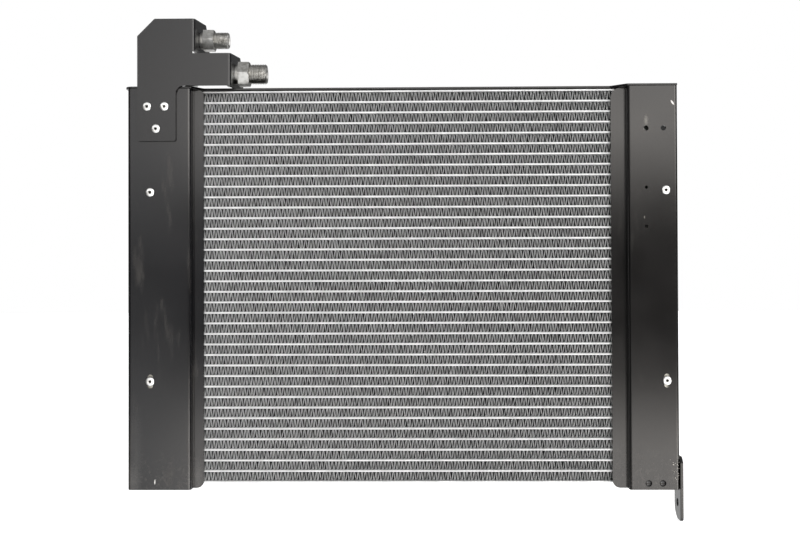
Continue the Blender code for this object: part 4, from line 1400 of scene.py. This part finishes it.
# ---------------------------------------------------------------- unions, nuts and pipes
class ThreadSize(Enum):
    """Outside radius, pitch and threaded length of each union's thread."""

    UPPER = (7.94 * MM, 25.4 / 18 * MM, 13.6 * MM)
    LOWER = (9.52 * MM, 25.4 / 16 * MM, 16.4 * MM)


def hexagon(flat: float) -> Radius:
    """Radius of a hexagon with flats above and below, by angle.

    Args:
        flat: Half the width across flats.

    Returns:
        A function of angle and height.
    """
    def reach(angle: float, _height: float) -> float:
        """Distance to the hexagon's edge."""
        off = (angle + math.pi / 6) % (math.pi / 3) - math.pi / 6
        return flat / math.cos(off)
    return reach


def chamfered_hexagon(flat: float, low: float, high: float) -> list[tuple[float, Radius | float]]:
    """Rows of a hexagon whose corners are turned off at both ends.

    Args:
        flat: Half the width across flats.
        low: Height of its first face.
        high: Height of its last face.

    Returns:
        Rows for radial().
    """
    edge = hexagon(flat)
    slope = 1.73

    def reach(angle: float, height: float) -> float:
        """The hexagon inside the two cones that chamfer it."""
        near = min(height - low, high - height)
        return min(edge(angle, height), flat + 0.2 * MM + near * slope)

    heights = [low + 0.2 * MM * step for step in range(5)]
    heights += [high - 0.2 * MM * step for step in range(4, -1, -1)]
    return [(height, reach) for height in heights]


@dataclass
class Union:
    """A bulkhead union along +X: thread, hexagon, collar, shank and a pipe socket."""

    name: str
    collar: float = 3.0 * MM
    hex_length: float = 10.5 * MM
    undercut: float = 0.6 * MM
    bore: float = 4.5 * MM
    pipe: float = 6.0 * MM
    socket: float = 6.0 * MM
    segments: int = 72
    gap: float = 0.3 * MM

    def __post_init__(self) -> None:
        """Read the union's axis and ends from the frame."""
        low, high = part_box(self.name)
        self.tail, self.head = low.x, high.x
        self.y, self.z = (low.y + high.y) / 2, (low.z + high.z) / 2
        self.flat = (high.z - low.z) / 2
        size = ThreadSize[self.name.split("_")[0].upper()]
        self.thread, self.pitch, self.thread_length = size.value
        self.shank = self.thread - self.undercut

    def thread_rows(self, start: float, end: float) -> list[tuple[float, Radius | float]]:
        """Rows of a helical V thread with a chamfered first turn.

        Args:
            start: Height where the thread runs out at the hexagon.
            end: Height of the union's face.

        Returns:
            Rows for radial().
        """
        depth = 0.6 * self.pitch
        lead = 1.1 * MM

        def reach(angle: float, height: float) -> float:
            """Radius of the thread's flank, crest or root."""
            phase = (height / self.pitch - angle / (2 * math.pi)) % 1.0
            flank = min(1.0, max(0.0, 1.35 * abs(2 * phase - 1) - 0.15))
            out = self.thread - depth * flank
            out = min(out, self.thread - lead + (end - height))
            out = min(out, self.thread - depth + (height - start) * 1.2)
            return max(out, self.thread - depth - 0.4 * MM)

        steps = round((end - start) / (self.pitch / 8))
        return [(start + (end - start) * step / steps, reach) for step in range(steps + 1)]

    def build(self, plate: bpy.types.Material) -> None:
        """The union as one turned body."""
        top = self.head - self.tail
        hex_high = top - self.thread_length
        hex_low = hex_high - self.hex_length
        collar_low = hex_low - self.collar
        collar = self.shank + 0.5 * MM
        socket = self.pipe + 0.3 * MM
        edge = 0.5 * MM
        root = self.thread - 0.6 * self.pitch - 0.3 * MM
        rows: list[tuple[float, Radius | float]] = [
            (0.0, self.shank - edge), (edge, self.shank), (collar_low, self.shank),
            (collar_low, collar - edge), (collar_low + edge, collar), (hex_low - 0.2 * MM, collar)]
        rows += [(hex_low, hexagon(self.flat))]
        rows += chamfered_hexagon(self.flat, hex_low - 5 * MM, hex_high)[5:]
        rows += [(hex_high, root)]
        rows += self.thread_rows(hex_high + 1.0 * MM, top)
        seat = top - 1.3 * MM
        rows += [
            (top, self.bore + 1.5 * MM), (seat, self.bore + 0.6 * MM), (seat, self.bore),
            (self.socket, self.bore), (self.socket, socket), (0.3 * MM, socket), (0.0, socket + 0.3 * MM)]
        mesh = radial(self.name, rows, self.segments, along_x(self.tail, self.y, self.z), True)
        add_piece(f"{self.name}_body", mesh, (plate, Slot.ZINC), [self.name], 32)


@dataclass
class LockNut:
    """The hexagon nut behind a flange."""

    name: str
    segments: int = 72

    def build(self, plate: bpy.types.Material) -> None:
        """The nut with both faces chamfered and a countersunk bore."""
        low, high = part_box(self.name)
        union = Union(self.name.replace("lock_nut", "union"))
        flat = (high.z - low.z) / 2
        length = high.x - low.x
        bore = union.shank + 0.3 * MM
        rows = chamfered_hexagon(flat, 0.0, length)
        sink = 0.5 * MM
        rows += [(length, bore + sink), (length - sink, bore), (sink, bore), (0.0, bore + sink)]
        mesh = radial(self.name, rows, self.segments, along_x(low.x, union.y, union.z), True)
        add_piece(f"{self.name}_hex", mesh, (plate, Slot.ZINC), [self.name], 32)


def rounded_route(corners: Sequence[Vector], radius: float, steps: int = 12) -> list[Vector]:
    """A route with every inner corner turned into an arc.

    Args:
        corners: The corners, ends among them.
        radius: Radius of the bends.
        steps: Chords of each bend.

    Returns:
        Points along the route.
    """
    route = [corners[0]]
    for before, corner, after in zip(corners, corners[1:], corners[2:]):
        back = (before - corner).normalized()
        ahead = (after - corner).normalized()
        half = back.angle(ahead) / 2
        centre = corner + (back + ahead).normalized() * (radius / math.sin(half))
        first = corner + back * (radius / math.tan(half)) - centre
        last = corner + ahead * (radius / math.tan(half)) - centre
        sweep = first.angle(last)
        for step in range(steps + 1):
            share = step / steps
            near = math.sin((1 - share) * sweep) / math.sin(sweep)
            far = math.sin(share * sweep) / math.sin(sweep)
            route.append(centre + first * near + last * far)
    route.append(corners[-1])
    return route


@dataclass
class Plumbing:
    """Both unions with their lock nuts, and the pipes that join them to the left header."""

    pipe: float = 6.0 * MM
    bend: float = 14.0 * MM
    socket: float = 6.0 * MM
    wall: float = 2.5 * MM
    turn_past_flange: float = 10.5 * MM

    def build(self, plate: bpy.types.Material, metal: bpy.types.Material) -> None:
        """Every fitting, and both pipes with their brazed ends."""
        upper, lower = Union("upper_union"), Union("lower_union")
        for union in (upper, lower):
            union.build(plate)
        for name in ("upper_lock_nut", "lower_lock_nut"):
            LockNut(name).build(plate)
        flange = FittingBracket()
        turn = flange.box[0].x + flange.upper_width + self.turn_past_flange
        header_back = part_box("left_header")[1].y
        for union, name in ((upper, "upper_pipe"), (lower, "lower_pipe")):
            low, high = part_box(name)
            x = low.x + self.pipe
            run = high.y - self.pipe
            foot = low.z + self.pipe
            start = union.tail + self.socket + 0.3 * MM
            first_turn = x if name == "upper_pipe" else turn
            corners = [
                Vector((start, union.y, union.z)), Vector((first_turn, union.y, union.z)),
                Vector((x, run, lower.z)), Vector((x, run, foot)),
                Vector((x, header_back - self.wall, foot))]
            mesh = swept(name, rounded_route(corners, self.bend), self.pipe, 32)
            add_piece(f"{name}_bent", mesh, (metal, Slot.HEADER), [name], 40)
            self.build_bead(f"{name}_braze", x, header_back, foot, metal)

    def build_bead(self, name: str, x: float, y: float, z: float, metal: bpy.types.Material) -> None:
        """The ring of braze where a pipe enters the header."""
        size = 1.3 * MM
        rows = [(size * math.sin(a) - 1.6 * MM, self.pipe + size * (0.6 + 0.9 * math.cos(a)))
                for a in (2 * math.pi * step / 12 for step in range(12))]
        place = Matrix.Translation((x, y - 0.4 * MM, z)) @ Matrix.Rotation(math.radians(-90), 4, "X")
        add_piece(name, radial(name, rows, 48, place, True), (metal, Slot.HEADER), angle=60)


# ---------------------------------------------------------------- clips and rivets
@dataclass
class HeaderClip:
    """A formed strap that holds a header to its channel."""

    side: Side
    level: str
    sheet: float = 1.5 * MM
    tab: float = 14.4 * MM
    wrap: float = 112.0              # degrees past the header's outboard side that it reaches

    def build(self, steel: bpy.types.Material) -> None:
        """The strap with its edges broken."""
        name = f"{self.side.word}_{self.level}_header_clip"
        low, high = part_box(name)
        header_low, header_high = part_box(f"{self.side.word}_header")
        rivet_low, rivet_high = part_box(f"{self.side.word}_{self.level}_rivet")
        header_x = abs(header_low.x + header_high.x) / 2
        header_y = (header_low.y + header_high.y) / 2
        rivet = abs(rivet_low.x + rivet_high.x) / 2
        radius = (header_high.x - header_low.x) / 2 + 0.3 * MM + self.sheet / 2
        tab_y = low.y + self.sheet / 2
        leg = rivet - self.tab / 2
        start = math.degrees(math.asin((leg - header_x) / radius))
        bend = 1.5 * self.sheet
        middle = [(rivet + self.tab / 2, tab_y)]
        middle += arc((leg + bend, tab_y + bend), bend, 270, 180, 8)
        middle += arc((header_x, header_y), radius, -90 + start, self.wrap, 32)
        placed = [(self.side.value * x, y) for x, y in middle]
        path = offset_path(placed, -self.sheet / 2)
        clip = add_object(
            f"{self.side.word}_{self.level}_clip", folded(name, path, self.sheet, low.z, high.z))
        soften(clip, 0.3 * MM)
        dress(clip, steel, Slot.CLIP, [name])


@dataclass
class BlindRivet:
    """A blind rivet: a domed head, the broken mandrel in it and the bulb behind."""

    name: str
    head: float = 1.6 * MM
    shank: float = 2.4 * MM
    pin: float = 1.5 * MM
    rim: float = 0.35 * MM           # the head stops this far inside its outline
    recess: float = 1.5 * MM
    bulb: float = 3.4 * MM
    bulb_length: float = 3.6 * MM
    segments: int = 48

    def build(self, metal: bpy.types.Material, steel: bpy.types.Material) -> None:
        """The rivet as one turned body, and the mandrel in it."""
        low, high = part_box(self.name)
        x, z = middle_of(self.name)
        radius = (high.z - low.z) / 2 - self.rim
        length = high.y - low.y
        rim = 0.3 * MM
        span = radius - self.pin - 0.35 * MM
        grip = length - self.head - self.bulb_length
        floor = self.head - self.recess
        rows: list[tuple[float, Radius | float]] = [
            (floor + 0.35 * MM, 0.0), (floor + 0.3 * MM, self.pin * 0.45), (floor, self.pin * 0.75),
            (floor, self.pin),
            (self.head - 0.12 * MM, self.pin), (self.head, self.pin + 0.12 * MM),
            (self.head, self.pin + 0.35 * MM)]
        for step in range(1, 9):
            share = step / 8
            rise = (self.head - rim) * math.sqrt(1 - share * share)
            rows.append((rim + rise, self.pin + 0.35 * MM + span * share))
        rows += [
            (0.0, radius), (0.0, self.shank), (-grip, self.shank), (-grip - 0.6 * MM, self.bulb),
            (-grip - self.bulb_length + 1.0 * MM, self.bulb), (-grip - self.bulb_length, self.shank),
            (-grip - self.bulb_length, 0.0)]
        place = facing_front(x, low.y + self.head, z)
        mesh = radial(self.name, rows, self.segments, place)
        add_piece(f"{self.name}_turned", mesh, (metal, Slot.RIVET), [self.name], 34)
        self.build_mandrel(place, steel)

    def build_mandrel(self, place: Matrix, steel: bpy.types.Material) -> None:
        """The rough end of the broken mandrel, down in the head, near-black as painted shade in the recess.
        """
        floor = self.head - self.recess
        radius = self.pin - 0.08 * MM

        def torn(angle: float, _height: float) -> float:
            """A ragged rim."""
            return radius * (0.9 + 0.08 * math.sin(3 * angle) + 0.02 * math.sin(11 * angle))

        rows: list[tuple[float, Radius | float]] = [
            (floor + 0.5 * MM, 0.0), (floor + 0.42 * MM, radius * 0.35), (floor + 0.5 * MM, radius * 0.6),
            (floor + 0.3 * MM, torn), (floor - 0.4 * MM, radius), (floor - 0.4 * MM, 0.0)]
        mesh = radial(self.name, rows, 24, place)
        add_piece(f"{self.name}_mandrel", mesh, (steel, Slot.RIVET), angle=30)


# ---------------------------------------------------------------- studio
@dataclass
class Studio:
    """The floor, the lights and the camera."""

    floor_radius: float = 6.0
    focal: float = 47.25             # millimetres on a 36 mm sensor
    lens_place: tuple[float, float, float] = (0.0134, -1.0148, -0.0133)
    yaw: float = 0.90
    pitch: float = 0.73
    roll: float = 0.20
    band_drop: float = 0.01          # how far below the lens's height the dark gap lies
    brightest: float = 7.0
    right_wall: tuple[Point2, ...] = (
        (0.0, 0.04), (0.06, 0.10), (0.09, 0.7), (0.15, 5.2), (0.18, 4.0), (0.25, 2.4), (0.5, 2.1),
        (1.0, 1.1))
    left_wall: tuple[Point2, ...] = (
        (0.0, 0.55), (0.04, 0.6), (0.07, 1.0), (0.11, 1.4), (0.15, 1.8), (0.18, 1.6), (0.24, 0.8),
        (0.5, 2.1), (1.0, 1.1))
    # From the far left (0) over straight ahead (0.5) to the far right (1): where the weaker left
    # boards stand, and how bright all of them are.
    left_gap: tuple[Point2, ...] = ((0.31, 1.0), (0.35, 0.0), (0.385, 0.0), (0.41, 1.0))
    board_ends: tuple[Point2, ...] = (
        (0.0, 0.04), (0.10, 0.06), (0.2, 0.22), (0.3, 0.6), (0.35, 1.0), (0.63, 1.0), (0.70, 1.4),
        (0.80, 2.3), (0.87, 1.4), (0.92, 0.12), (1.0, 0.06))
    overhead: tuple[Point2, ...] = ((0.1, 1.0), (0.3, 1.0), (0.62, 1.0), (0.95, 0.4))
    backdrop: float = 0.9
    backdrop_high: float = 0.12
    back_wall: float = 0.35

    def build(self) -> None:
        """Everything around the cooler."""
        self.build_floor()
        self.build_lights()
        self.build_world()
        self.build_camera()

    def build_floor(self) -> None:
        """A wide round paper floor whose edge curls up a little."""
        foot = CAD_BOX[0].z - 0.2 * MM
        rows: list[tuple[float, Radius | float]] = [(0.0, 0.0)]
        rows += [(0.0, self.floor_radius * share) for share in (0.1, 0.3, 0.6, 0.9)]
        rows += [(0.02, self.floor_radius), (-0.02, self.floor_radius), (-0.02, 0.0)]
        floor = add_object("paper_floor", radial("floor", rows, 96, upright(0, 0, foot)))
        shade(floor, 30)
        floor.data.materials.append(SeamlessPaper("white_seamless_paper").build())
        floor.visible_glossy = False
        floor.visible_diffuse = False

    def area(self, name: str, place: Vector, target: Vector, size: Point2, power: float) -> None:
        """A soft box that looks at a point.

        Args:
            name: The light's name.
            place: Where it stands.
            target: What it looks at.
            size: Its width and height in metres.
            power: Watts.
        """
        data = bpy.data.lights.new(name, "AREA")
        data.shape = "RECTANGLE"
        data.size, data.size_y = size
        data.energy = power
        lamp = bpy.data.objects.new(name, data)
        lamp.location = place
        lamp.rotation_euler = (target - place).to_track_quat("-Z", "Y").to_euler()
        bpy.context.scene.collection.objects.link(lamp)

    def build_lights(self) -> None:
        """A weak soft box on either side of the lens, for the sparkle on the turned fittings."""
        middle = Vector((0.0, 0.0, 0.0))
        self.area("soft_box_right", Vector((1.9, -2.4, 1.4)), middle, (0.6, 0.8), 10.0)
        self.area("soft_box_left", Vector((-2.0, -2.4, 1.4)), middle, (0.5, 0.8), 6.0)

    def build_world(self) -> None:
        """White for the lens; for all else a room with lit boards above and below the lens.

        The boards on the right are brighter, and the gap between them, at the lens's own height,
        is darker there. A satin coat shows that gap as a dark band across its middle. Past the
        boards' outer ends the room is dark, and that draws a dark line along every fold.
        """
        world = bpy.data.worlds.new("studio")
        bpy.context.scene.world = world
        world.use_nodes = True
        tree = world.node_tree
        tree.nodes.clear()
        path = add_node(tree, "ShaderNodeLightPath")
        place = add_node(tree, "ShaderNodeTexCoord").outputs["Generated"]
        parts = add_node(tree, "ShaderNodeSeparateXYZ", {0: place})
        scale = 1 / self.brightest
        room = add_node(tree, "ShaderNodeMix", {
            "data_type": "RGBA",
            0: add_node(tree, "ShaderNodeMapRange", {
                "From Min": -0.1, "From Max": 0.25, "Value": parts.outputs[1]}).outputs[0],
            6: self.boards(tree, parts, scale), 7: self.back(tree, path, parts, scale)})
        lit = add_node(
            tree, "ShaderNodeBackground", {"Strength": self.brightest, "Color": room.outputs[2]})
        white = add_node(tree, "ShaderNodeBackground", {"Color": (1, 1, 1, 1), "Strength": 1.0})
        both = add_node(tree, "ShaderNodeMixShader", {
            0: path.outputs["Is Camera Ray"], 1: lit.outputs[0], 2: white.outputs[0]})
        add_node(tree, "ShaderNodeOutputWorld", {"Surface": both.outputs[0]})

    def boards(self, tree: Tree, parts: bpy.types.Node, scale: float) -> Socket:
        """The lit boards in front of the cooler.

        Args:
            tree: The world's node tree.
            parts: The direction's X, Y and Z.
            scale: What turns a board's light into a ramp's value.

        Returns:
            Their light in each direction.
        """
        off = add_node(
            tree, "ShaderNodeMath", {"operation": "ADD", 0: parts.outputs[2], 1: self.band_drop})
        climb = add_node(tree, "ShaderNodeMath", {"operation": "ABSOLUTE", 0: off.outputs[0]})
        aside, level = (
            add_node(tree, "ShaderNodeMapRange", {"From Min": -1.0, "Value": parts.outputs[axis]})
            for axis in (0, 2))
        ramps = (
            (climb, [(at, self.warm(at, value * scale)) for at, value in self.right_wall]),
            (climb, [(at, grey(value * scale)) for at, value in self.left_wall]),
            (aside, [(at, grey(value)) for at, value in self.left_gap]),
            (aside, [(at, grey(value)) for at, value in self.board_ends]),
            (level, [(at, grey(value)) for at, value in self.overhead]))
        right, left, across, ends, tilt = (
            add_node(tree, "ShaderNodeValToRGB", {"stops": stops, 0: along.outputs[0]}).outputs[0]
            for along, stops in ramps)
        light = add_node(
            tree, "ShaderNodeMix", {"data_type": "RGBA", 0: across, 6: left, 7: right}).outputs[2]
        for share in (ends, tilt):
            light = add_node(
                tree, "ShaderNodeVectorMath", {"operation": "MULTIPLY", 0: light, 1: share}).outputs[0]
        return light

    def back(self, tree: Tree, path: bpy.types.Node, parts: bpy.types.Node, scale: float) -> Socket:
        """The room behind the cooler: pale below and dim above for what mirrors it.

        Args:
            tree: The world's node tree.
            path: What kind of ray asks.
            parts: The direction's X, Y and Z.
            scale: What turns light into a colour's value.

        Returns:
            Its light in each direction.
        """
        rise = add_node(tree, "ShaderNodeMapRange", {
            "From Min": -0.05, "From Max": 0.08, "Value": parts.outputs[2]})
        paper = add_node(tree, "ShaderNodeMix", {
            "data_type": "RGBA", 0: rise.outputs[0], 6: grey(self.backdrop * scale),
            7: grey(self.backdrop_high * scale)})
        return add_node(tree, "ShaderNodeMix", {
            "data_type": "RGBA", 0: path.outputs["Is Glossy Ray"], 6: grey(self.back_wall * scale),
            7: paper.outputs[2]}).outputs[2]

    def warm(self, height: float, value: float) -> Colour:
        """The white of the boards, a little warm along the edges that face the lens."""
        if height > 0.2:
            return grey(value)
        return (value, 0.955 * value, 0.91 * value, 1.0)

    def build_camera(self) -> None:
        """A camera almost square to the front, a little right of the middle."""
        data = bpy.data.cameras.new("camera")
        data.sensor_width = 36.0
        data.lens = self.focal
        data.clip_start, data.clip_end = 0.05, 50.0
        camera = bpy.data.objects.new("camera", data)
        camera.location = self.lens_place
        turn = Matrix.Rotation(math.radians(self.yaw), 4, "Z")
        turn = turn @ Matrix.Rotation(math.radians(self.pitch), 4, "X")
        turn = turn @ Matrix.Rotation(math.radians(self.roll), 4, "Y")
        turn = turn @ Matrix.Rotation(math.radians(90), 4, "X")
        camera.rotation_euler = turn.to_euler()
        bpy.context.scene.collection.objects.link(camera)
        bpy.context.scene.camera = camera
        bpy.context.scene.view_settings.view_transform = "Standard"


def right_marks(holes: RightChannelHoles) -> tuple[CoatMark, ...]:
    """The marks in the right channel's coat.

    Args:
        holes: The channel's open holes.

    Returns:
        A smear above the inner open hole, a chip near the outer edge, a nick above the lowest
        hole and a rubbed edge above the ear.
    """
    channel = holes.channel
    x, top, foot = channel.across(holes.pair_insets[0]), channel.box[1].z, channel.box[0].z
    return (
        CoatMark(x, top - holes.pair_drop + 7 * MM, 2.4 * MM, 6.5 * MM, 0.0, "6d6a64", 0.75, 0.9),
        CoatMark(channel.across(4.8 * MM), top - 16 * MM, 0.9 * MM, 3.0 * MM, 35.0),
        CoatMark(x - 2 * MM, top - 123 * MM, 0.5 * MM, 1.3 * MM, 0.0, "77746e"),
        CoatMark(channel.across(1.4 * MM), foot + 52 * MM, 1.6 * MM, 30 * MM, 0.0, "4c4a47", 0.8, 1.0))


def left_marks(channel: SideChannel) -> tuple[CoatMark, ...]:
    """The marks in the left channel's coat.

    Args:
        channel: The left channel.

    Returns:
        A chip at the foot, a long smudge along the outer edge and dust in both lower corners.
    """
    foot = channel.box[0].z
    return (
        CoatMark(channel.across(25.6 * MM), foot + 7.5 * MM, 0.6 * MM, 2.6 * MM, -4.0),
        CoatMark(channel.across(8 * MM), foot + 30 * MM, 7 * MM, 60 * MM, 0.0, "3d3c3b", 0.6, 1.3),
        CoatMark(channel.across(4 * MM), foot + 8 * MM, 9 * MM, 20 * MM, 0.0, "565452", 0.6, 1.2),
        CoatMark(channel.across(64 * MM), foot + 10 * MM, 6 * MM, 22 * MM, 0.0, "565452", 0.6, 1.2))


def main() -> None:
    """Build every piece in the order in which the cooler goes together."""
    logging.basicConfig(level=logging.INFO, format="%(message)s")
    core = Core()
    tube_metal = MillAluminium(
        "extruded_aluminium_tube", "e2e3e3", "c6c7c7", 0.5, (40.0, 1.0, 1.0), metallic=0.35).build()
    header_metal = MillAluminium(
        "drawn_aluminium_header", "d8d8d6", "a9aaa9", 0.36, (1.0, 1.0, 40.0)).build()
    foil = FinFoil("brazed_aluminium_foil", front=core.box[0].y, back=core.box[1].y).build()
    core.build_tubes(tube_metal)
    core.build_fins(foil)
    core.build_plates(tube_metal)
    Headers(core).build(header_metal)

    left = SideChannel(Side.LEFT, 10.1 * MM, (4.0 * MM, 7.0 * MM))
    right = SideChannel(Side.RIGHT, 13.9 * MM, (9.5 * MM, 7.0 * MM))
    holes = RightChannelHoles(right)
    foot = left.box[0].z
    coat = PowderCoat(
        "satin_black_powder_coat", scuffs=0.25, dusty_low=foot, marks=right_marks(holes)).build()
    scuffed = PowderCoat(
        "scuffed_black_powder_coat", colour="0f0f12", scuffs=0.6, dusty_low=foot, dusty_span=0.05,
        marks=left_marks(left)).build()
    bracket_coat = PowderCoat(
        "matt_black_powder_coat", colour="141416", roughness=0.22, scuffs=0.2, dusty_low=-1.0).build()
    weld = MillAluminium("bare_weld_steel", "d0cdc6", "77726a", 0.4, (1.0, 1.0, 1.0)).build()
    left.build(scuffed, BracketHoles(left).cutters())
    right.build(coat, holes.cutters())
    TopRail(left, right).build(coat)
    MountingEar(right).build(coat, weld)
    FittingBracket().build(bracket_coat)

    plate = ZincPlate("zinc_plated_steel").build()
    Plumbing().build(plate, header_metal)
    strap = ZincPlate("zinc_plated_strip", "bdbcb4", "85827a", 0.34, 0.6 * MM, (1.0, 1.0, 40.0)).build()
    even = (1.0, 1.0, 1.0)
    bright = MillAluminium("bright_rivet_aluminium", "f2f2f0", "cfcfcd", 0.30, even, 1.2 * MM).build()
    # The mandrel is a real part; its near-black colour is painted shade down in the rivet's recess.
    mandrel = MillAluminium("mandrel_steel_painted_shade", "2e2c2b", "1c1b1a", 0.45, even).build()
    for side in Side:
        for level in ("upper", "lower"):
            HeaderClip(side, level).build(strap)
            BlindRivet(f"{side.word}_{level}_rivet").build(bright, mandrel)
    for index in (1, 2, 3):
        BlindRivet(f"bracket_rivet_{index}").build(bright, mandrel)
    Studio().build()


if __name__ == "__main__":
    main()
